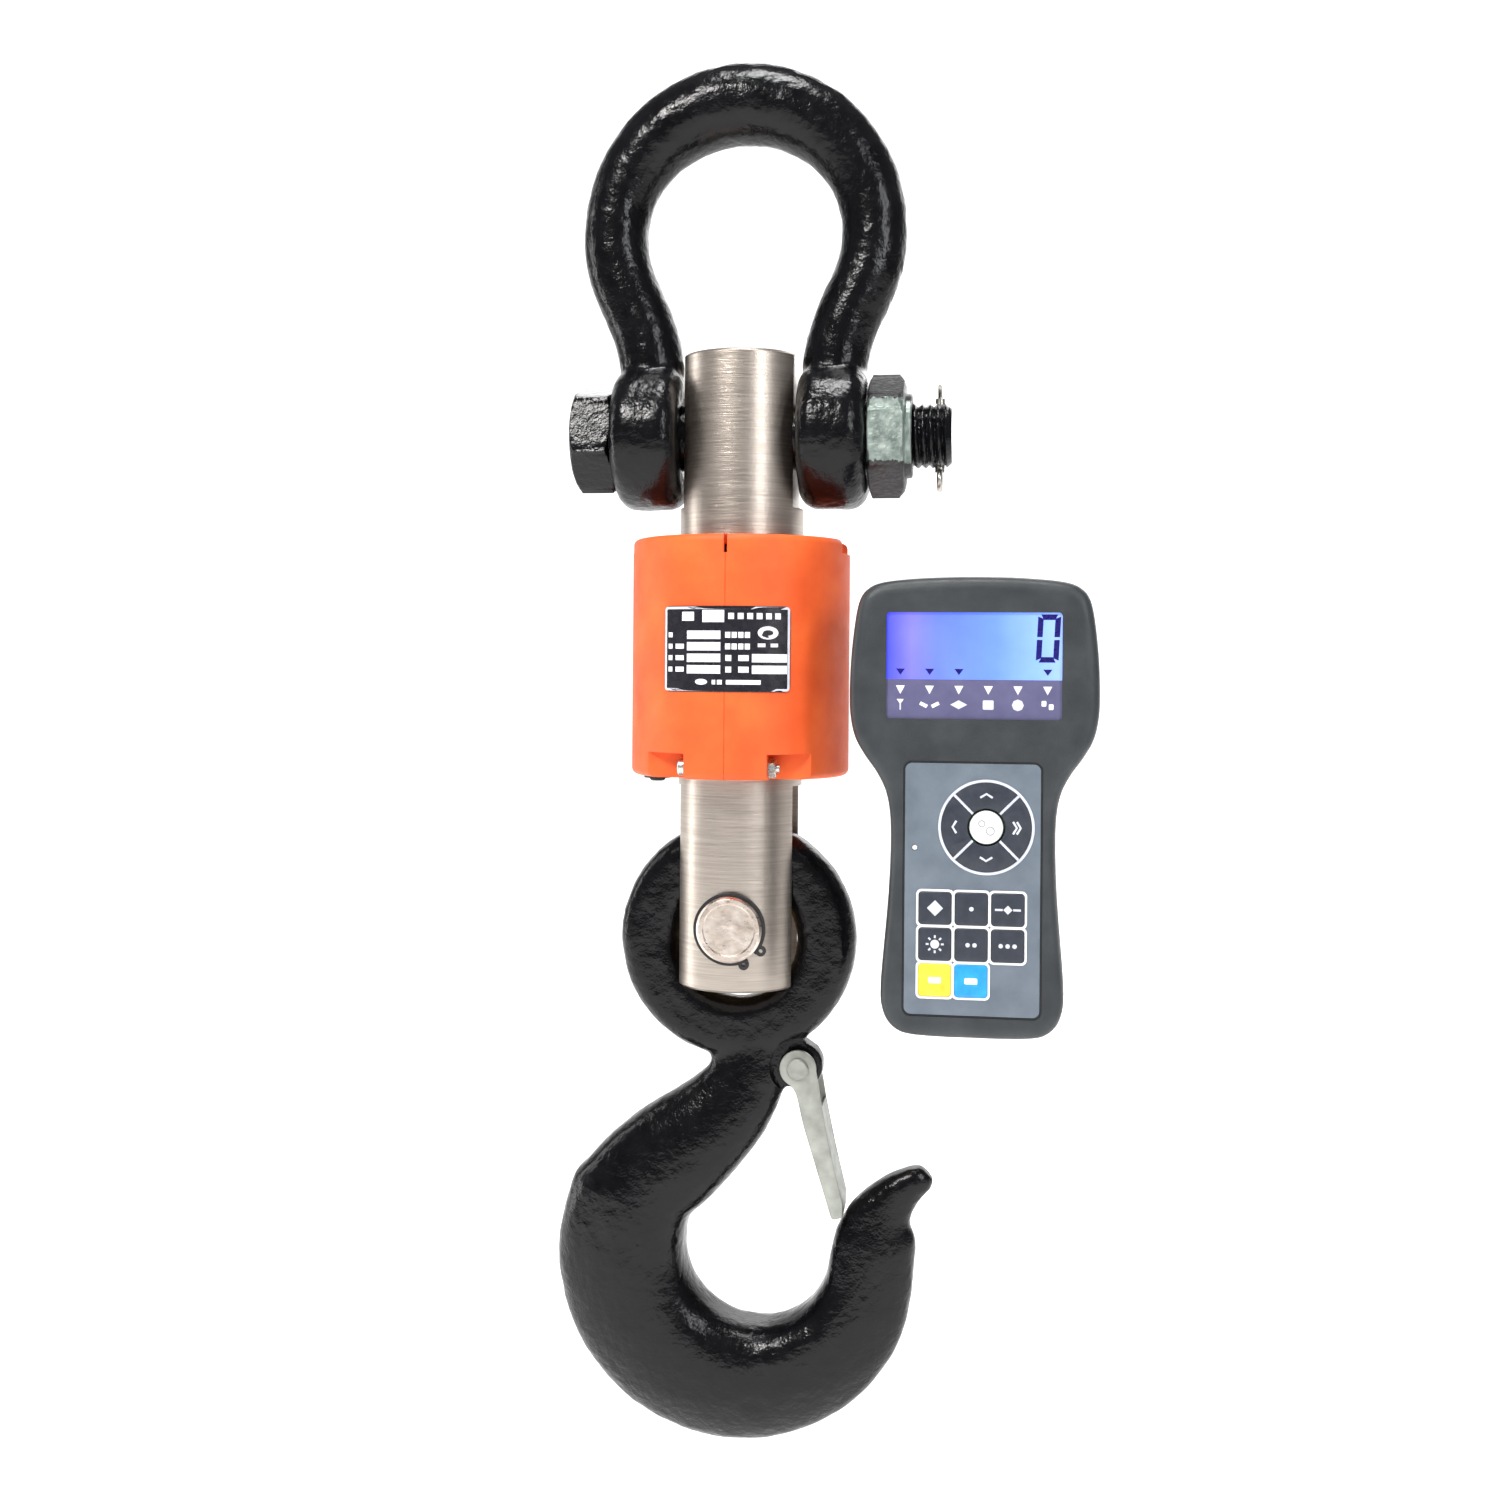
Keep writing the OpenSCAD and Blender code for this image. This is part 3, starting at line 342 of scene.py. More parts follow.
def tidy_mesh(obj, sharp_deg):
    """Faces look outwards and shade smoothly, except over edges sharper than sharp_deg."""
    work = bmesh.new()
    work.from_mesh(obj.data)
    bmesh.ops.remove_doubles(work, verts=work.verts, dist=1e-7)
    bmesh.ops.recalc_face_normals(work, faces=work.faces)
    work.to_mesh(obj.data)
    work.free()
    for face in obj.data.polygons:
        face.use_smooth = True
    obj.data.set_sharp_from_angle(angle=math.radians(sharp_deg))


class Pieces:
    """Gathers closed solids with a material number each, and makes one object of them."""

    def __init__(self):
        self.verts, self.faces, self.indices = [], [], []

    def skin(self, rings, material=0, closed=False):
        """Joins rings of equal length in order: with end caps, or closed into a loop."""
        start, count = len(self.verts), len(rings[0])
        for ring in rings:
            self.verts.extend(ring)
        last = len(rings) if closed else len(rings) - 1
        for i in range(last):
            here, there = start + i * count, start + (i + 1) % len(rings) * count
            for k in range(count):
                after = (k + 1) % count
                self.faces.append((here + k, here + after, there + after, there + k))
                self.indices.append(material)
        if not closed:
            end = start + (len(rings) - 1) * count
            self.faces.append(tuple(range(start + count - 1, start - 1, -1)))
            self.faces.append(tuple(range(end, end + count)))
            self.indices.extend([material, material])

    def make(self, name, materials, sharp_deg=35):
        return make_object(name, self.verts, self.faces, materials, self.indices, sharp_deg)


def bake_modifiers(obj):
    """Applies the modifiers and keeps the result as the object's own mesh."""
    graph = bpy.context.evaluated_depsgraph_get()
    mesh = bpy.data.meshes.new_from_object(obj.evaluated_get(graph))
    old = obj.data
    obj.modifiers.clear()
    obj.data = mesh
    bpy.data.meshes.remove(old)


def combine(obj, other, operation):
    change = obj.modifiers.new(operation, "BOOLEAN")
    change.operation = operation
    change.object = other
    change.solver = "MANIFOLD"
    bake_modifiers(obj)
    bpy.data.objects.remove(other)


def cut(obj, *cutters):
    for cutter in cutters:
        combine(obj, cutter, "DIFFERENCE")


SHRINK = 1.2    # in lump depths: draws the skin in, so that lumps hardly rise past the drawn shape


def forge(obj, voxel, rounds, lump, lump_size):
    """Merges overlapping solids into one blended skin with the slight lumps of a forging.
    rounds is how often the skin is smoothed, and lump is the depth of a lump of lump_size."""
    remesh = obj.modifiers.new("remesh", "REMESH")
    remesh.mode = "VOXEL"
    remesh.voxel_size = voxel * MM
    relax = obj.modifiers.new("relax", "SMOOTH")
    relax.factor = 0.5
    relax.iterations = rounds
    bake_modifiers(obj)
    normals = [vertex.normal.copy() for vertex in obj.data.vertices]
    for vertex, normal in zip(obj.data.vertices, normals):
        spot = vertex.co / (lump_size * MM)
        swell = noise.noise(spot) + 0.5 * noise.noise(spot * 3)
        vertex.co += normal * (swell - SHRINK) * lump * MM


def dress(obj, body, slot, *replaced):
    """Puts a piece on its body, in place of the CAD nodes named last. slot is not used."""
    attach(obj, body)
    if replaced:
        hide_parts(*replaced)
    return obj


def ellipse(across, up, count, centre=(0, 0)):
    """Points round an ellipse with the half-widths across and up."""
    return [
        (centre[0] + across * math.cos(math.tau * k / count),
         centre[1] + up * math.sin(math.tau * k / count))
        for k in range(count)
    ]


def circle(radius, count, centre=(0, 0)):
    return ellipse(radius, radius, count, centre)


def round_rect(width, height, radius, steps=6):
    """A rectangle round the origin with rounded corners, counter-clockwise."""
    points = []
    for turn, (sx, sy) in enumerate([(1, 1), (-1, 1), (-1, -1), (1, -1)]):
        cx, cy = sx * (width / 2 - radius), sy * (height / 2 - radius)
        for i in range(steps + 1):
            a = math.pi / 2 * (turn + i / steps)
            points.append((cx + radius * math.cos(a), cy + radius * math.sin(a)))
    return points


def inset(outline, distance):
    """A counter-clockwise outline drawn in along its own normals."""
    moved = []
    for i, point in enumerate(outline):
        before, after = outline[i - 1], outline[(i + 1) % len(outline)]
        along = Vector((after[0] - before[0], after[1] - before[1])).normalized()
        moved.append((point[0] - along.y * distance, point[1] + along.x * distance))
    return moved


def drum_x(x0, x1, radius, y, z, count=64):
    """A cylinder along X, for cutting."""
    piece = Pieces()
    piece.skin([[(x, y + a, z + b) for a, b in circle(radius, count)] for x in (x0, x1)])
    return piece.make("cutter", [])


def drum_y(y0, y1, radius, x, z, count=64):
    """A cylinder along Y, for cutting."""
    piece = Pieces()
    piece.skin([[(x + a, y, z + b) for a, b in circle(radius, count)] for y in (y0, y1)])
    return piece.make("cutter", [])


def drum_z(z0, z1, radius, x, y, count):
    """A cylinder along Z, for cutting."""
    piece = Pieces()
    piece.skin([[(x + a, y + b, z) for a, b in circle(radius, count)] for z in (z0, z1)])
    return piece.make("cutter", [])


# ---------- Shackle ----------

BOLT_Z, BOLT_R = -138, 15
EAR_X, EAR_R, EAR_T, EAR_CORNER = 43.25, 34.2, 32.5, 9
EAR_CORE_R = BOLT_R - 4    # the ear is drawn in to here, and the bolt's hole is cut afterwards
BOW_R, CROWN_EXTRA, WAIST_LESS = 15.8, 3.4, 1.2
ARCH_R, LEG_DEG = 61.5, 25
ARCH_Z = -ARCH_R + BOW_R + CROWN_EXTRA


def bezier(a, b, c, d, t):
    """A point on the cubic curve from a to d, drawn towards b and c."""
    return a * (1 - t) ** 3 + b * 3 * (1 - t) ** 2 * t + c * 3 * (1 - t) * t * t + d * t ** 3


def bow_line(steps):
    """The bow's centreline: a leg, the arch over the top, and the other leg."""
    lean = math.radians(LEG_DEG)
    top = Vector((ARCH_R * math.cos(lean), 0, ARCH_Z - ARCH_R * math.sin(lean)))
    leg = [
        bezier(top, top + Vector((-9, 0, -19)), Vector((EAR_X - 1.5, 0, BOLT_Z + 40)),
               Vector((EAR_X, 0, BOLT_Z + 14)), i / steps)
        for i in range(1, steps + 1)
    ]
    arch = []
    for i in range(4 * steps + 1):
        a = math.pi + lean - (math.pi + 2 * lean) * i / (4 * steps)
        arch.append(Vector((ARCH_R * math.cos(a), 0, ARCH_Z + ARCH_R * math.sin(a))))
    mirrored = [Vector((-p.x, 0, p.z)) for p in reversed(leg)]
    return mirrored + arch + leg


def sweep_upright(line, radius, count):
    """Rings of a round bar along a line that lies in X and Z; radius is a function of the point."""
    side = Vector((0, 1, 0))
    rings = []
    for i, point in enumerate(line):
        along = (line[min(i + 1, len(line) - 1)] - line[max(i - 1, 0)]).normalized()
        out = side.cross(along)
        rings.append([point + (side * a + out * b) * radius(point) for a, b in circle(1, count)])
    return rings


def bow_radius(point):
    """The bar thickens towards the crown and slims where it meets the ears."""
    waist_top, waist_length = BOLT_Z + 34, 16
    crown = CROWN_EXTRA * max(0.0, (point.z - ARCH_Z) / ARCH_R) ** 2
    waist = WAIST_LESS * max(0.0, min(1.0, (waist_top - point.z) / waist_length))
    return BOW_R + crown - waist


def build_bow():
    piece = Pieces()
    piece.skin(sweep_upright(bow_line(24), bow_radius, 48))
    for centre in (-EAR_X, EAR_X):
        profile = [(x + centre, r + (EAR_R + EAR_CORE_R) / 2)
                   for x, r in round_rect(EAR_T, EAR_R - EAR_CORE_R, EAR_CORNER, 8)]
        piece.skin([
            [(x, r * math.cos(a), BOLT_Z + r * math.sin(a)) for x, r in profile]
            for a in (math.tau * k / 96 for k in range(96))
        ], closed=True)
    bow = piece.make("bow", [FINISHES["black_gloss"]])
    forge(bow, 1.25, 7, 0.32, 9)
    cut(bow, drum_x(-100, 100, BOLT_R + 0.4, 0, BOLT_Z))
    tidy_mesh(bow, 50)
    return dress(bow, "shackle", "black_gloss", "shackle_bow")


def hex_radius(angle, across_flats):
    """Distance from the centre to a hexagon's side, with corners at multiples of 60 degrees."""
    part = (angle % (math.pi / 3)) - math.pi / 6
    return across_flats / 2 / math.cos(part)


def hex_rings(x_stations, across_flats, turn, count=144):
    """Rings of a hexagonal head along X; each station is an x and the cone radius that trims it."""
    rings = []
    for x, cone in x_stations:
        ring = []
        for k in range(count):
            a = math.tau * k / count
            r = min(hex_radius(a, across_flats), cone)
            ring.append((x, r * math.sin(a + turn), BOLT_Z + r * math.cos(a + turn)))
        rings.append(ring)
    return rings


HEAD_AF, NUT_AF, HEAD_TURN = 46, 50, math.radians(11)
THREAD_PITCH, THREAD_DEPTH, GROOVE_SHARE = 3.5, 1.5, 0.42
TIP_LESS, TIP_SLOPE = 2.2, 0.9    # the chamfer at the bolt's end


def thread_rings(start, end, zero, steps=10, count=96):
    """Rings of a helical V thread that turns once in each pitch, counted from zero."""
    length = end - start
    total = int(length / THREAD_PITCH * steps)
    rings = []
    for i in range(total + 1):
        x = start + length * i / total
        tip_r = BOLT_R - TIP_LESS + (end - x) * TIP_SLOPE
        ring = []
        for k in range(count):
            a = math.tau * k / count
            phase = ((x - zero) / THREAD_PITCH - k / count) % 1
            depth = THREAD_DEPTH * max(0.0, 1 - abs(phase - 0.5) / GROOVE_SHARE)
            r = min(BOLT_R - depth, tip_r)
            ring.append((x, r * math.cos(a), BOLT_Z + r * math.sin(a)))
        rings.append(ring)
    return rings


def build_bolt():
    low, high = node_box("shackle_bolt")
    nut_face = node_box("shackle_nut")[1].x
    thread_start = nut_face - 1
    end, seat = low.x, -EAR_X - EAR_T / 2 - 0.3
    flat = HEAD_AF / 2
    corner = flat / math.cos(math.pi / 6)
    piece = Pieces()
    piece.skin(hex_rings([
        (end + 0.9, 9), (end + 0.9, 14.4), (end, 15), (end, flat - 1.6), (end + 0.25, flat - 0.5),
        (end + 0.9, flat + 0.9), (end + 1.8, flat + 2.2), (end + 2.9, corner),
        (seat - 1.2, corner), (seat - 0.5, flat + 2), (seat, flat + 0.6), (seat, 15),
    ], HEAD_AF, HEAD_TURN))
    piece.skin([
        [(x, BOLT_R * a, BOLT_Z + BOLT_R * b) for a, b in circle(1, 96)] for x in (seat - 0.5, thread_start)
    ])
    piece.skin(thread_rings(thread_start, high.x, nut_face))
    bolt = piece.make("bolt", [FINISHES["black_gloss"]], 32)
    return dress(bolt, "shackle", "black_gloss", "shackle_bolt")


def build_nut():
    """A hexagon with chamfered corners, and a round collar on its outer face."""
    low, high = node_box("shackle_nut")
    seat, end = low.x, high.x
    collar = 3
    face = end - collar
    flat = NUT_AF / 2
    corner = flat / math.cos(math.pi / 6)
    bore = BOLT_R + 0.05
    piece = Pieces()
    piece.skin(hex_rings([
        (seat, bore), (seat, flat - 0.6), (seat + 0.6, flat + 1.4), (seat + 1.5, corner),
        (face - 2.9, corner), (face - 1.6, flat + 2.1), (face - 0.6, flat + 0.7), (face, flat - 1.4),
        (face, BOLT_R + 5.4), (face + 0.5, BOLT_R + 4.6), (end - 0.5, BOLT_R + 4.4),
        (end, BOLT_R + 3.8), (end, BOLT_R + 1), (end - 0.8, bore),
    ], NUT_AF, 0), closed=True)
    nut = piece.make("nut", [zinc_nut_material(BOLT_Z * MM)], 32)
    return dress(nut, "shackle", "zinc", "shackle_nut")


# ---------- Hook ----------

EYE_Z = -373.3
EYE_R, EYE_HOLE_R, EYE_T, EYE_CORNER = 56, 27.5, 23, 9
BOWL_X, BOWL_R, BACK_X, BACK_R, BOWL_T = 10, 34, -0.5, 85.5, 50
BOWL_DROP, BACK_DROP = 145, 150
LATCH_X, LATCH_Z, LATCH_PIN_R = 29.6, EYE_Z - 58.5, 3.2
LUG_R, LUG_T, LUG_CLEAR_R = 11.5, 11, 13.5


def bowl_station(degrees, inner, outer):
    """[inner x, inner z, outer x, outer z, inner thickness, outer thickness], below the eye's centre."""
    c, s = math.cos(math.radians(degrees)), math.sin(math.radians(degrees))
    return [BOWL_X + BOWL_R * c, -BOWL_DROP + BOWL_R * s,
            BACK_X + BACK_R * c, -BACK_DROP + BACK_R * s, inner, outer]


# From the eye down the neck, round the bowl and up to the tip, each as bowl_station() gives it
HOOK_STATIONS = [
    [25, -37, -7, -39, 20, 20],
    [27, -50, -12.6, -51, 22, 22],
    [25, -62, -14, -60, 25, 24],
    [20, -77, -26, -70, 31, 28],
    [12.5, -92.5, -42.5, -80.5, 38, 32],
    [0, -109.5, -57, -91.5, 44, 34],
    [-13.5, -124.5, -70.5, -105.5, 47, 34],
    bowl_station(158, BOWL_T - 1, 34),
    bowl_station(182, BOWL_T, 33),
    bowl_station(208, BOWL_T, 32),
    bowl_station(234, BOWL_T, 31),
    bowl_station(260, BOWL_T, 30),
    bowl_station(286, BOWL_T - 2, 29),
    bowl_station(312, BOWL_T - 6, 27),
    bowl_station(337, BOWL_T - 13, 25),
    [44, -146, 84.6, -141.5, 29, 22],
    [47.6, -133, 81.8, -131, 24, 20],
    [55.2, -120.6, 83.4, -124.6, 21, 18],
    [69.1, -109.5, 87, -118.6, 18, 15],
    [80, -104.4, 91, -114, 15, 12],
    [86.6, -103.2, 92.6, -109.4, 9, 8],
]


def smooth_stations(stations, steps):
    """Catmull-Rom stations between the given ones."""
    result = []
    for i in range(len(stations) - 1):
        a, b = stations[max(i - 1, 0)], stations[i]
        c, d = stations[i + 1], stations[min(i + 2, len(stations) - 1)]
        for j in range(steps):
            t = j / steps
            result.append([
                0.5 * (2 * q + (r - p) * t + (2 * p - 5 * q + 4 * r - s) * t * t
                       + (3 * q - p - 3 * r + s) * t ** 3)
                for p, q, r, s in zip(a, b, c, d)
            ])
    result.append(stations[-1])
    return result


def hook_ring(station, count, squareness=0.75):
    """One cross-section: thick on the load side, slimmer towards the back."""
    ring = []
    for k in range(count):
        q = math.tau * k / count
        u = (1 - math.cos(q)) / 2
        thick = station[4] * (1 - u) + station[5] * u
        bulge = math.copysign(abs(math.sin(q)) ** squareness, math.sin(q))
        ring.append((
            station[0] * (1 - u) + station[2] * u, bulge * thick / 2,
            EYE_Z + station[1] * (1 - u) + station[3] * u))
    return ring


def build_hook():
    piece = Pieces()
    profile = [(y, r + (EYE_R + EYE_HOLE_R) / 2)
               for y, r in round_rect(EYE_T, EYE_R - EYE_HOLE_R, EYE_CORNER, 8)]
    piece.skin([
        [(r * math.cos(a), y, EYE_Z + r * math.sin(a)) for y, r in profile]
        for a in (math.tau * k / 120 for k in range(120))
    ], closed=True)
    piece.skin([hook_ring(s, 56) for s in smooth_stations(HOOK_STATIONS, 8)])
    piece.skin([[(LATCH_X + a, y, LATCH_Z + b) for a, b in circle(LUG_R, 48)]
                for y in (-LUG_T / 2, LUG_T / 2)])
    hook = piece.make("hook_forging", [FINISHES["black_gloss"]])
    forge(hook, 1.35, 8, 0.30, 10)
    cut(hook,
        drum_y(-BOWL_T, BOWL_T, LATCH_PIN_R + 0.2, LATCH_X, LATCH_Z, 32),
        drum_y(-BOWL_T, -LUG_T / 2, LUG_CLEAR_R, LATCH_X, LATCH_Z),
        drum_y(LUG_T / 2, BOWL_T, LUG_CLEAR_R, LATCH_X, LATCH_Z))
    tidy_mesh(hook, 50)
    return dress(hook, "hook", "black_gloss", "hook")


LATCH_LEN, LATCH_LEAN, BOSS_R, CHEEK_IN, CHEEK_T = 71, 15.9, 8.5, 9.8, 1.8


def build_latch():
    """A pressed channel: two cheeks with round bosses and a web along their outer edge."""
    lean = math.radians(LATCH_LEAN)

    def place(x, y, z):
        return (LATCH_X + x * math.cos(lean) - z * math.sin(lean), y,
                LATCH_Z + x * math.sin(lean) + z * math.cos(lean))

    boss = [(BOSS_R * math.cos(a), BOSS_R * math.sin(a))
            for a in (math.radians(-22 + 250 * i / 40) for i in range(41))]
    curve = [Vector(boss[-1]), Vector((-2.6, -11.0)), Vector((-4.4, -14)), Vector((-4.5, -27))]
    inner = [tuple(bezier(*curve, i / 10)) for i in range(1, 11)]
    foot = [(-3.4, -LATCH_LEN + 1.4), (-2.9, -LATCH_LEN + 0.4), (-2.0, -LATCH_LEN),
            (1.0, -LATCH_LEN), (1.9, -LATCH_LEN + 0.5)]
    outer = [(3.6, -LATCH_LEN + 6), (4.5, -42), (5.9, -22), (7.3, -9)]
    outline = boss + inner + foot + outer
    piece = Pieces()
    for side in (-1, 1):
        near, far = side * CHEEK_IN, side * (CHEEK_IN + CHEEK_T)
        piece.skin([
            [place(x, y, z) for x, z in inset(outline, d)]
            for d, y in ((0, near), (0, far - side * 0.5), (0.15, far - side * 0.15), (0.5, far))
        ])
    web = [(4.6, -20), (5.95, -20), (4.5, -40), (3.6, -LATCH_LEN + 6), (2, -LATCH_LEN + 0.3),
           (0.5, -LATCH_LEN + 0.3), (2.1, -LATCH_LEN + 6), (3.0, -40)]
    piece.skin([[place(x, y, z) for x, z in web] for y in (-CHEEK_IN - 0.1, CHEEK_IN + 0.1)])
    latch = piece.make("latch_channel", [FINISHES["latch_zinc"]], 30)
    cut(latch, drum_y(-30, 30, LATCH_PIN_R + 0.05, LATCH_X, LATCH_Z, 32))
    tidy_mesh(latch, 30)
    return dress(latch, "latch", "latch_zinc", "hook_latch")


# ---------- Nameplate ----------

PLATE_R, PLATE_Z, PLATE_W, PLATE_H = 51.5, -238, 60, 38


def on_plate(piece, outline, material, lift=0.07):
    """Wraps a flat outline, drawn in millimetres from the plate's centre, onto the plate's curve."""
    rings = []
    for r in (PLATE_R - 0.05, PLATE_R + lift):
        rings.append([
            (r * math.sin(x / PLATE_R), -r * math.cos(x / PLATE_R), PLATE_Z + z) for x, z in outline
        ])
    piece.skin(rings, material)


def bar_outline(x, z, width, height, steps):
    """A bar with its lower left corner at (x, z), divided so that it can follow the curve."""
    low = [(x + width * i / steps, z) for i in range(steps + 1)]
    return low + [(px, z + height) for px, _ in reversed(low)]


BORDER, WHITE, BLACK = 0, 1, 2    # the print's materials
ROW_TOP, ROW_PITCH, FIELD_H = 6.2, 5.1, 3.7
EMBLEM_SPOT = (19.4, 7.2)


def print_border(piece):
    """Four bright edges with rounded corners between them."""
    w, h = PLATE_W / 2 - 0.3, PLATE_H / 2 - 0.3
    edge, corner = 1.1, 1.6
    for z in (-h, h - edge):
        on_plate(piece, bar_outline(-w + corner, z, 2 * (w - corner), edge, 24), BORDER)
    for x in (-w, w - edge):
        on_plate(piece, bar_outline(x, -h + corner, edge, 2 * (h - corner), 2), BORDER)
    for sx in (-1, 1):
        for sz in (-1, 1):
            cx, cz = sx * (w - corner), sz * (h - corner)
            start = math.atan2(sz, sx) - math.pi / 4
            arc = [(math.cos(start + math.pi / 2 * i / 6), math.sin(start + math.pi / 2 * i / 6))
                   for i in range(7)]
            outer = [(cx + corner * c, cz + corner * s) for c, s in arc]
            inner = [(cx + (corner - edge) * c, cz + (corner - edge) * s) for c, s in reversed(arc)]
            on_plate(piece, outer + inner, BORDER)


def print_rows(piece):
    """Four rows: blank fields with small marks in place of words."""
    for i in range(4):
        z = ROW_TOP - ROW_PITCH * i
        on_plate(piece, bar_outline(-17.6, z - FIELD_H / 2, 15.8, FIELD_H, 12), WHITE)
        on_plate(piece, bar_outline(-27.6, z - 1.1, 2.2, 2.2, 2), WHITE)
        if i > 0:
            on_plate(piece, bar_outline(-23.6, z - 1.1, 4.4, 2.2, 3), WHITE)
        if i < 2:
            for j in range(4):
                on_plate(piece, bar_outline(0.3 + 2.9 * j, z - 1.3, 2.3, 2.6, 2), WHITE)
        else:
            on_plate(piece, bar_outline(0.5, z - 1.3, 2.6, 2.6, 2), WHITE)
            on_plate(piece, bar_outline(6.2, z - 1.3, 4.6, 2.6, 4), WHITE)
            on_plate(piece, bar_outline(12.2, z - FIELD_H / 2, 16.2, FIELD_H, 12), WHITE)


def print_heading(piece):
    on_plate(piece, bar_outline(-20.2, 12.4, 6.0, 4.0, 4), WHITE)
    on_plate(piece, bar_outline(-10.2, 11.8, 10.0, 5.4, 8), WHITE)
    for j in range(6):
        on_plate(piece, bar_outline(1.6 + 4.2 * j, 13.2, 2.6, 2.7, 2), WHITE)


def print_emblem(piece):
    """A plain oval with a dark middle, and two marks under it."""
    on_plate(piece, ellipse(4.7, 2.9, 28, EMBLEM_SPOT), WHITE)
    on_plate(piece, ellipse(2.35, 1.218, 28, EMBLEM_SPOT), BLACK, 0.11)
    for x in (14.8, 20.6):
        on_plate(piece, bar_outline(x, 0.9, 3.4, 1.6, 3), WHITE)


def print_foot(piece):
    on_plate(piece, ellipse(2.9, 1.3, 20, (-10.6, -14.6)), WHITE)
    for x, width in ((-5.6, 1.6), (-3.2, 2.2), (0.8, 15.4)):
        on_plate(piece, bar_outline(x, -15.7, width, 2.0, max(2, int(width))), WHITE)


def build_plate_print():
    piece = Pieces()
    for layer in (print_border, print_rows, print_heading, print_emblem, print_foot):
        layer(piece)
    prints = piece.make("nameplate_print", [PRINT_PALE, PRINT_WHITE, FINISHES["plate"]], 30)
    return dress(prints, "load_cell", "plate")


# ---------- Indicator ----------

FRONT_LOW, FRONT_HIGH = node_box("indicator_front_case")
REAR_HIGH = node_box("indicator_rear_case")[1]
IND_X = (FRONT_LOW.x + FRONT_HIGH.x) / 2
IND_FRONT = -FRONT_LOW.y
IND_DROP = -(FRONT_LOW.z + FRONT_HIGH.z) / 2
IND_T = REAR_HIGH.y - FRONT_LOW.y
IND_H = FRONT_HIGH.z - FRONT_LOW.z
WALL, PART_DEPTH, SEAL_T = 2.4, 17, 2.4
LCD_W, LCD_H, LCD_C = 74, 45.4, 60.4
PANEL_W, PANEL_H, PANEL_C = 57, 107, -34.6
NAV_C, NAV_R, NAV_HUB_R = (5.8, -8), 19, 7.98
KEY_SIZE, KEY_PITCH, KEY_X0, KEY_Z0 = 14, 15.3, -15.5, -42.7
KEY_NAMES = ["key_1", "key_2", "key_3", "key_4", "key_5", "key_6", "key_yellow", "key_blue"]
KEY_FRONT, KEY_BACK = -0.5, 2.9
SCREW_SPOTS = [(-45.5, 45), (45.5, 45), (-29.5, -87), (29.5, -87)]
FRAME_FRONT, FRAME_BACK = -0.28, 0.1

# Half of the outline, from the middle of its top down to its foot: distance from the middle, and
# height as a share of the whole.
IND_HALF = [
    [0, 0.5], [16, 0.4985], [30, 0.494], [40, 0.4865], [45.2, 0.474], [48.6, 0.452],
    [50.6, 0.41], [52.3, 0.335], [53, 0.26], [52.7, 0.2], [50.6, 0.15], [46.3, 0.11],
    [41, 0.072], [37, 0.03], [35.1, -0.025], [34.8, -0.1], [35.6, -0.2], [37.2, -0.3],
    [38.6, -0.385], [38.5, -0.43], [36.2, -0.465], [31.5, -0.488], [25, -0.497], [12, -0.5], [0, -0.5],
]


def indicator_outline(steps):
    half = [(x, z * IND_H) for x, z in smooth_stations(IND_HALF, steps)]
    left = [(-x, z) for x, z in half]
    right = [(x, z) for x, z in reversed(half[1:-1])]
    return left + right


OUTLINE = indicator_outline(6)


def at(x, depth, z):
    """A point in the indicator's own frame: across, behind its front face, and up."""
    return (IND_X + x, depth - IND_FRONT, z - IND_DROP)


def case_ring(distance, depth):
    """The outline drawn in by a distance, at a depth."""
    return [at(x, depth, z) for x, z in inset(OUTLINE, distance)]


def plate_rings(outline, near, far, centre=(0, 0)):
    """A flat plate's two rings, at the depths near and far."""
    return [[at(centre[0] + x, depth, centre[1] + z) for x, z in outline] for depth in (near, far)]


def plate_cutter(outline, near, far, centre=(0, 0)):
    """A flat plate, for cutting."""
    piece = Pieces()
    piece.skin(plate_rings(outline, near, far, centre))
    return piece.make("cutter", [])


def key_spot(index):
    """The middle of a square key: three in a row, counted from the top left."""
    return (KEY_X0 + KEY_PITCH * (index % 3), KEY_Z0 - KEY_PITCH * (index // 3))


def build_front_case():
    piece = Pieces()
    piece.skin([
        case_ring(6.0, 0), case_ring(4.6, 0.08), case_ring(3.3, 0.4), case_ring(2.2, 0.95),
        case_ring(1.3, 1.75), case_ring(0.65, 2.8), case_ring(0.22, 4.2), case_ring(0, 6.2),
        case_ring(0, PART_DEPTH - 0.35), case_ring(0.3, PART_DEPTH), case_ring(WALL, PART_DEPTH),
        case_ring(WALL, 7), case_ring(WALL + 2.4, WALL),
    ])
    case = piece.make("front_case", [FINISHES["case_charcoal"]])
    cut(case,
        plate_cutter(round_rect(LCD_W, LCD_H, 1.5), -2, 6, (0, LCD_C)),
        plate_cutter(round_rect(LCD_W + 4, LCD_H + 4, 2.5), 1.2, 6, (0, LCD_C)),
        plate_cutter(round_rect(PANEL_W + 1.8, PANEL_H + 1.8, 3.6), -2, 0.8, (0, PANEL_C)),
        plate_cutter(round_rect(PANEL_W - 6, PANEL_H - 8, 3), -1, 6, (0, PANEL_C)))
    tidy_mesh(case, 28)
    return dress(case, "indicator", "case_charcoal", "indicator_front_case")


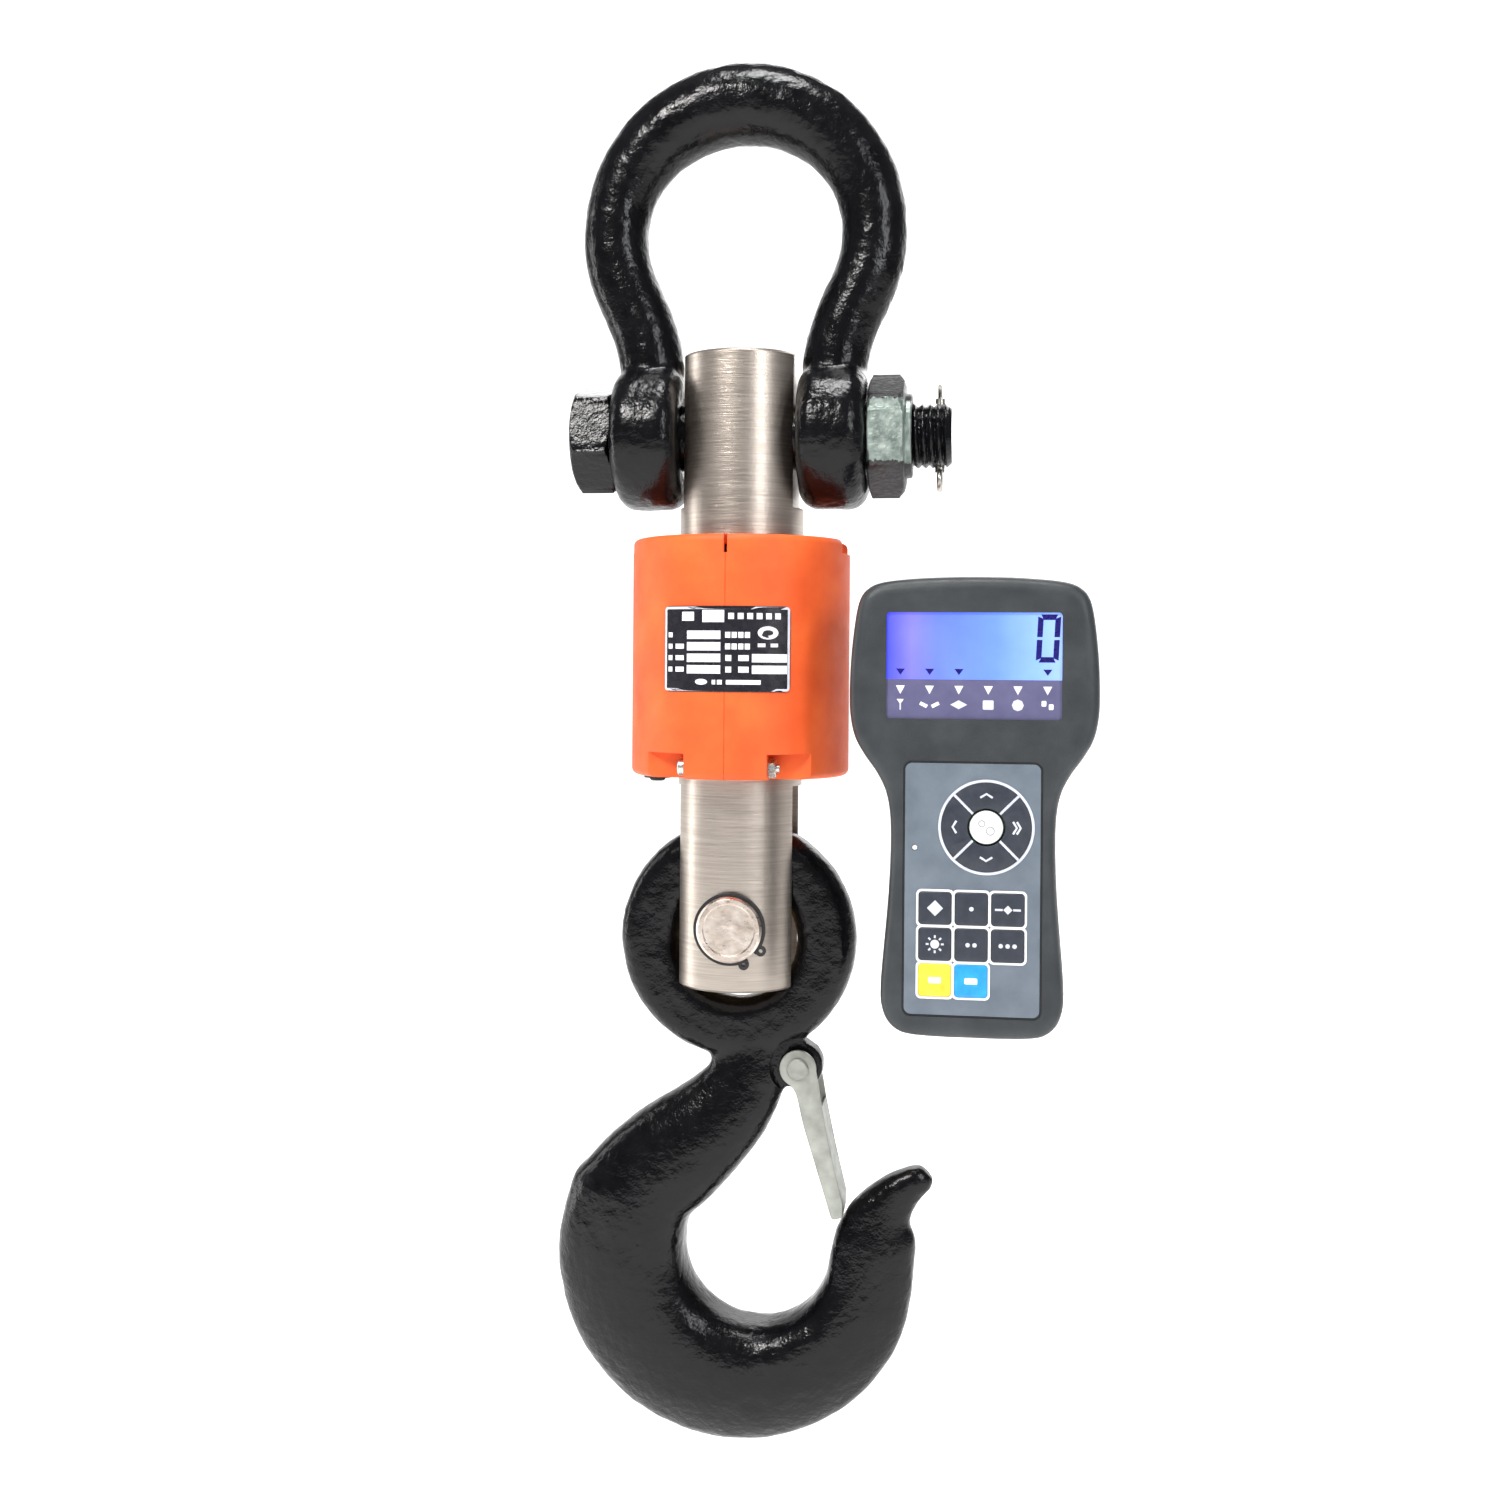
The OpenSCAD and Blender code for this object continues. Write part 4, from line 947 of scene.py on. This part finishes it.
def build_rear_case():
    front = PART_DEPTH + SEAL_T
    piece = Pieces()
    piece.skin([
        case_ring(WALL + 3.4, IND_T - WALL), case_ring(WALL, IND_T - 6), case_ring(WALL, front),
        case_ring(0.3, front), case_ring(0, front + 0.35), case_ring(0, IND_T - 9),
        case_ring(0.35, IND_T - 6.2), case_ring(1.2, IND_T - 3.8), case_ring(2.4, IND_T - 1.8),
        case_ring(4.0, IND_T - 0.5), case_ring(6, IND_T),
    ])
    case = piece.make("rear_case", [FINISHES["case_charcoal"]])
    low, high = node_box("battery_door")
    centre = ((low.x + high.x) / 2 - IND_X, (low.z + high.z) / 2 + IND_DROP)
    door = round_rect(high.x - low.x + 0.5, high.z - low.z + 0.5, 3)
    cut(case, plate_cutter(door, IND_T - 6, IND_T + 2, centre))
    for spot in SCREW_SPOTS:
        cut(case, plate_cutter(circle(3.0, 32), IND_T - 3.5, IND_T + 2, spot))
    low, high = node_box("charge_jack")
    cut(case, drum_z(low.z - 3, low.z + 12, 4.3, (low.x + high.x) / 2, (low.y + high.y) / 2, 32))
    tidy_mesh(case, 28)
    return dress(case, "indicator", "case_charcoal", "indicator_rear_case")


def build_panel_groove():
    """The dark line round the keypad's overlay."""
    inner = round_rect(PANEL_W + 0.4, PANEL_H + 0.4, 3.2)
    outer = round_rect(PANEL_W + 1.6, PANEL_H + 1.6, 3.5)
    piece = Pieces()
    piece.skin([
        [at(x, depth, PANEL_C + z) for x, z in outline]
        for outline, depth in ((inner, 0.75), (inner, 0.3), (outer, 0.3), (outer, 0.75))
    ], closed=True)
    groove = piece.make("panel_groove", [GROOVE_BLACK])
    return dress(groove, "indicator", "rubber")


def triangle(x, z, width, height):
    """A triangle that points down from its top edge at z."""
    return [(x - width / 2, z), (x, z - height), (x + width / 2, z)]


def stroke(points, width):
    """A band of constant width along a short open line."""
    left, right = [], []
    for i, point in enumerate(points):
        a = Vector(points[max(i - 1, 0)])
        b = Vector(points[min(i + 1, len(points) - 1)])
        side = (b - a).normalized()
        left.append((point[0] - side.y * width / 2, point[1] + side.x * width / 2))
        right.append((point[0] + side.y * width / 2, point[1] - side.x * width / 2))
    return left + list(reversed(right))


def flat_ring(piece, outer, inner, front, back, centre, material):
    """A flat ring between two outlines with the same number of points."""
    piece.skin([
        [at(centre[0] + x, depth, centre[1] + z) for x, z in outline]
        for outline, depth in ((inner, back), (inner, front), (outer, front), (outer, back))
    ], material, closed=True)


SCREEN_DEPTH, SCREEN_BACK, STRIP_SHARE = 1.25, 2.4, 0.37
LIT, STRIP, INK, SIGN_WHITE, SIGN_PALE = range(5)    # the screen's materials
SIGN_COLUMNS = [12.4 * (i - 2.5) for i in range(6)]
SIGN_Z = -16.6


def shifted(outline, dx, dz):
    return [(x + dx, z + dz) for x, z in outline]


def draw_zero(mark):
    """A seven-segment zero, slanted a little, with chamfered segments."""
    left, right, top, bottom, bar = 26.4, 35.9, 21.9, 1.6, 2.3
    gap, chamfer, slope = 0.6, 0.9, 0.05
    middle = (top + bottom) / 2

    def segment(points):
        mark([(x + slope * (z - middle), z) for x, z in points], INK)

    for outside, inside in ((left, left + bar), (right, right - bar)):
        segment([(outside, middle + gap), (outside, top - chamfer),
                 (inside, top - 2 * chamfer), (inside, middle + gap)])
        segment([(outside, bottom + chamfer), (outside, middle - gap),
                 (inside, middle - gap), (inside, bottom + 2 * chamfer)])
    for outside, inside in ((top, top - bar), (bottom, bottom + bar)):
        segment([(left + 1.2, outside), (right - 1.2, outside),
                 (right - bar - 0.1, inside), (left + bar + 0.1, inside)])


def draw_signs(mark):
    """The plain sign at the foot of each column: an aerial, a balance, a diamond, a box, a dot, steps."""
    aerial, balance, lozenge, box, dot, steps = SIGN_COLUMNS
    mark(triangle(aerial, SIGN_Z + 2.2, 3.0, 2.2), SIGN_WHITE)
    mark(stroke([(aerial, SIGN_Z + 0.2), (aerial, SIGN_Z - 2.4)], 0.6), SIGN_PALE)
    for side in (-1, 1):
        arm = [(balance + side * 1.0, SIGN_Z - 0.9), (balance + side * 4.0, SIGN_Z + 0.6)]
        mark(stroke(arm, 1.5), SIGN_WHITE)
    mark(diamond(3.6, 1.9, (lozenge, SIGN_Z)), SIGN_PALE)
    mark(shifted(round_rect(4.6, 4.0, 0.5, 2), box, SIGN_Z), SIGN_PALE)
    mark(circle(2.5, 8, (dot, SIGN_Z)), SIGN_PALE)
    for dx, dz in ((-1.5, 0.8), (1.5, -0.6)):
        mark(shifted(round_rect(2.0, 2.4, 0.4, 2), steps + dx, SIGN_Z + dz), SIGN_WHITE)


def build_screen():
    """The lit display, its printed strip, one large digit and small marks, just behind the opening."""
    piece = Pieces()
    w, h = LCD_W / 2 + 1.6, LCD_H / 2 + 1.6
    split = -LCD_H / 2 + LCD_H * STRIP_SHARE
    for low, high, material in ((split, h, LIT), (-h, split, STRIP)):
        outline = [(-w, low), (w, low), (w, high), (-w, high)]
        piece.skin(plate_rings(outline, SCREEN_DEPTH, SCREEN_BACK, (0, LCD_C)), material)

    def mark(outline, material):
        piece.skin(plate_rings(outline, SCREEN_DEPTH - 0.06, SCREEN_DEPTH, (0, LCD_C)), material)

    for i in (0, 1, 2, 5):
        mark(triangle(SIGN_COLUMNS[i], -1.4, 3.8, 2.6), INK)
    for x in SIGN_COLUMNS:
        mark(triangle(x, -8.6, 3.8, 3.6), SIGN_WHITE)
    draw_zero(mark)
    draw_signs(mark)
    screen = piece.make("display_screen", [LCD_LIT, LCD_STRIP, LCD_INK, PRINT_WHITE, PRINT_PALE], 30)
    return dress(screen, "indicator", "lcd_glass", "display_window")


def key_body(piece, outline, centre, front=KEY_FRONT):
    """A keycap with softly rounded front edges."""
    piece.skin([
        [at(centre[0] + x, depth, centre[1] + z) for x, z in inset(outline, d)]
        for d, depth in ((1.0, front), (0.55, front + 0.04), (0.22, front + 0.18), (0.05, front + 0.4),
                         (0, front + 0.7), (0, KEY_BACK))
    ], 0)


def key_mark(piece, outline, centre):
    """A printed sign, just proud of a keycap."""
    piece.skin(plate_rings(outline, KEY_FRONT - 0.05, KEY_FRONT + 0.05, centre), 1)


def diamond(across, up, centre=(0, 0)):
    return [(centre[0] - across, centre[1]), (centre[0], centre[1] - up),
            (centre[0] + across, centre[1]), (centre[0], centre[1] + up)]


def turned(points, turn):
    c, s = math.cos(turn), math.sin(turn)
    return [(x * c - z * s, x * s + z * c) for x, z in points]


def nav_outline(turn):
    """A quarter of the ring, standing off its neighbours, as a smooth closed outline."""
    gap = 0.9
    offset = gap * math.sin(math.pi / 4)

    def edge_angle(radius):
        return math.pi / 4 - math.asin(offset / radius)

    outer, inner = edge_angle(NAV_R), edge_angle(NAV_HUB_R)
    points = []
    for i in range(25):
        a = -outer + 2 * outer * i / 24
        points.append((NAV_R * math.cos(a), NAV_R * math.sin(a)))
    for i in range(13):
        a = inner - 2 * inner * i / 12
        points.append((NAV_HUB_R * math.cos(a), NAV_HUB_R * math.sin(a)))
    return turned(points, turn)


def build_nav_key(name, turn, double):
    """One quarter of the ring with a chevron that points outwards, or two of them."""
    piece = Pieces()
    outline = nav_outline(turn)
    piece.skin([
        [at(NAV_C[0] + x, depth, NAV_C[1] + z) for x, z in ring]
        for ring, depth in ((inset(outline, 0.35), KEY_FRONT), (inset(outline, 0.1), KEY_FRONT + 0.1),
                            (outline, KEY_FRONT + 0.35), (outline, KEY_BACK))
    ], 0)
    for reach in ((14.4, 12.8) if double else (14.2,)):
        chevron = stroke([(reach - 1.6, 2.6), (reach, 0), (reach - 1.6, -2.6)], 0.9)
        key_mark(piece, turned(chevron, turn), NAV_C)
    key = piece.make("cap_" + name, [FINISHES["key_dark"], PRINT_PALE], 40)
    return dress(key, name, "key_dark", name)


def build_centre_key():
    """A round key that stands a little prouder than the others, with two printed rings."""
    front = KEY_FRONT - 0.2
    piece = Pieces()
    key_body(piece, circle(NAV_HUB_R - 0.9, 64), NAV_C, front)
    for dx, dz, radius in ((-1.9, 1.6, 1.5), (1.7, -1.5, 1.9)):
        flat_ring(piece, circle(radius, 24), circle(radius - 0.45, 24), front - 0.05, front,
                  (NAV_C[0] + dx, NAV_C[1] + dz), 1)
    key = piece.make("cap_nav_ok", [FINISHES["key_white"], PRINT_GREY], 40)
    return dress(key, "nav_ok", "key_white", "nav_ok")


def sun_marks():
    rays = []
    for k in range(8):
        c, s = math.cos(math.tau * k / 8), math.sin(math.tau * k / 8)
        rays.append(stroke([(2.6 * c, 2.6 * s), (3.8 * c, 3.8 * s)], 0.8))
    return rays + [circle(1.9, 20)]


def dot_marks(count):
    return [circle(0.95, 16, ((i - (count - 1) / 2) * 2.9, 0)) for i in range(count)]


def square_marks(name):
    """Plain signs in place of lettering: one to three dots tell the function keys apart."""
    level = [diamond(1.9, 1.9), stroke([(-5.4, 0), (-2.2, 0)], 0.9), stroke([(2.2, 0), (5.4, 0)], 0.9)]
    bar = [round_rect(5.4, 2.6, 0.5, 3)]
    return {
        "key_1": [diamond(3.4, 3.4)], "key_2": dot_marks(1), "key_3": level,
        "key_4": sun_marks(), "key_5": dot_marks(2), "key_6": dot_marks(3),
        "key_yellow": bar, "key_blue": bar,
    }[name]


def build_square_key(index, name):
    coloured = name in ("key_yellow", "key_blue")
    slot = name if coloured else "key_dark"
    spot = key_spot(index)
    piece = Pieces()
    key_body(piece, round_rect(KEY_SIZE, KEY_SIZE, 1.6), spot)
    for outline in square_marks(name):
        key_mark(piece, outline, spot)
    key = piece.make("cap_" + name, [FINISHES[slot], PRINT_WHITE if coloured else PRINT_PALE], 40)
    return dress(key, name, slot, name)


def build_key_lattice():
    """Pale frames printed round the square keys, which run into each other."""
    cell, hole = KEY_PITCH + 0.7, KEY_SIZE + 0.16
    spots = [key_spot(index) for index in range(len(KEY_NAMES))]
    cells = [plate_cutter(round_rect(cell, cell, 2.2), FRAME_FRONT, FRAME_BACK, spot) for spot in spots]
    lattice = cells[0]
    lattice.name = "key_frames"
    for other in cells[1:]:
        combine(lattice, other, "UNION")
    for spot in spots:
        cut(lattice, plate_cutter(round_rect(hole, hole, 1.65), -2, 2, spot))
    lattice.data.materials.append(PRINT_PALE)
    tidy_mesh(lattice, 30)
    return dress(lattice, "indicator", "panel_slate")


def build_nav_frame():
    """A pale ring printed round the navigation keys, and the cross between them."""
    piece = Pieces()
    flat_ring(piece, circle(NAV_R + 1.25, 96), circle(NAV_R + 0.12, 96), FRAME_FRONT, FRAME_BACK, NAV_C, 0)
    for k in range(4):
        a = math.pi / 4 + math.pi / 2 * k
        reach = [(r * math.cos(a), r * math.sin(a)) for r in (NAV_HUB_R + 0.1, NAV_R + 0.2)]
        piece.skin(plate_rings(stroke(reach, 1.05), FRAME_FRONT, 0.6, NAV_C), 0)
    ring = piece.make("nav_frame", [PRINT_PALE], 30)
    return dress(ring, "indicator", "panel_slate")


# ---------- Stage ----------

LIT_SPOT = (0.02, 0, -0.28)
CAMERA_AZIMUTH, CAMERA_ROLL, CAMERA_DISTANCE, CAMERA_Z = math.radians(8), math.radians(-0.45), 0.770, -0.245
CAMERA_SIDE = 0.0042    # how far the view's middle lies beside the bar's axis


def build_stage():
    """A pale floor below the hanging scale that sweeps up into a backdrop."""
    floor_z = cad_box[0][2] / MM - 60
    half, front, reach, bend, rise = 4000, -3000, 2600, 900, 3200
    line = [(front, floor_z), (reach - bend, floor_z)]
    line += [(reach - bend + bend * math.sin(a), floor_z + bend * (1 - math.cos(a)))
             for a in (math.pi / 2 * i / 16 for i in range(1, 17))]
    line.append((reach, floor_z + rise))
    verts = [(side * half, y, z) for y, z in line for side in (-1, 1)]
    faces = [(2 * i, 2 * i + 1, 2 * i + 3, 2 * i + 2) for i in range(len(line) - 1)]
    paper = finish(
        "studio_paper", [(0.86, 0.86, 0.86), (0.90, 0.90, 0.90)], (0.8, 0.9), mottle=1, glow=0.72)
    make_object("studio_floor", verts, faces, [paper])


def area_light(name, place, size, power, colour=(1, 1, 1)):
    """A rectangular lamp, in metres and watts, that faces the middle of the scale."""
    light = bpy.data.lights.new(name, "AREA")
    light.shape = "RECTANGLE"
    light.size, light.size_y = size
    light.energy = power
    light.color = colour
    obj = bpy.data.objects.new(name, light)
    obj.location = place
    obj.rotation_euler = (Vector(LIT_SPOT) - Vector(place)).to_track_quat("-Z", "Y").to_euler()
    bpy.context.scene.collection.objects.link(obj)


def build_lights():
    area_light("key_light", (-0.55, -1.25, 0.85), (0.34, 0.34), 24, (1.0, 0.98, 0.96))
    area_light("fill_light", (1.05, -1.15, 0.35), (0.22, 0.8), 9, (0.97, 0.98, 1.0))
    area_light("top_light", (0.05, -0.25, 1.05), (0.5, 0.3), 12)
    area_light("left_edge", (-1.3, 0.05, -0.1), (0.2, 1.2), 5)
    area_light("back_light", (0.2, 1.3, 0.5), (1.4, 1.0), 10)
    world = bpy.data.worlds.new("studio_air")
    world.use_nodes = True
    air = world.node_tree.nodes["Background"]
    air.inputs["Color"].default_value = (0.95, 0.97, 1.0, 1)
    air.inputs["Strength"].default_value = 0.20
    bpy.context.scene.world = world
    bpy.context.scene.view_settings.view_transform = "Standard"


def build_camera():
    """A level camera, a little to the side of the front."""
    camera = bpy.data.cameras.new("camera")
    camera.sensor_width = 36
    camera.lens = 39.15
    camera.shift_y = -0.0567
    obj = bpy.data.objects.new("camera", camera)
    c, s = math.cos(CAMERA_AZIMUTH), math.sin(CAMERA_AZIMUTH)
    centre = Vector((CAMERA_SIDE * c, CAMERA_SIDE * s, CAMERA_Z))
    obj.location = centre - Vector((-s, c, 0)) * CAMERA_DISTANCE
    obj.rotation_euler = (math.pi / 2, CAMERA_ROLL, CAMERA_AZIMUTH)
    bpy.context.scene.collection.objects.link(obj)
    bpy.context.scene.camera = obj


finish_cad_nodes()
build_camera()
build_bow()
build_bolt()
build_nut()
build_hook()
build_latch()
build_plate_print()
build_front_case()
build_rear_case()
build_panel_groove()
build_screen()
for quarter, name in enumerate(["nav_right", "nav_up", "nav_left", "nav_down"]):
    build_nav_key(name, quarter * math.pi / 2, name == "nav_right")
build_centre_key()
for index, name in enumerate(KEY_NAMES):
    build_square_key(index, name)
build_key_lattice()
build_nav_frame()
build_stage()
build_lights()
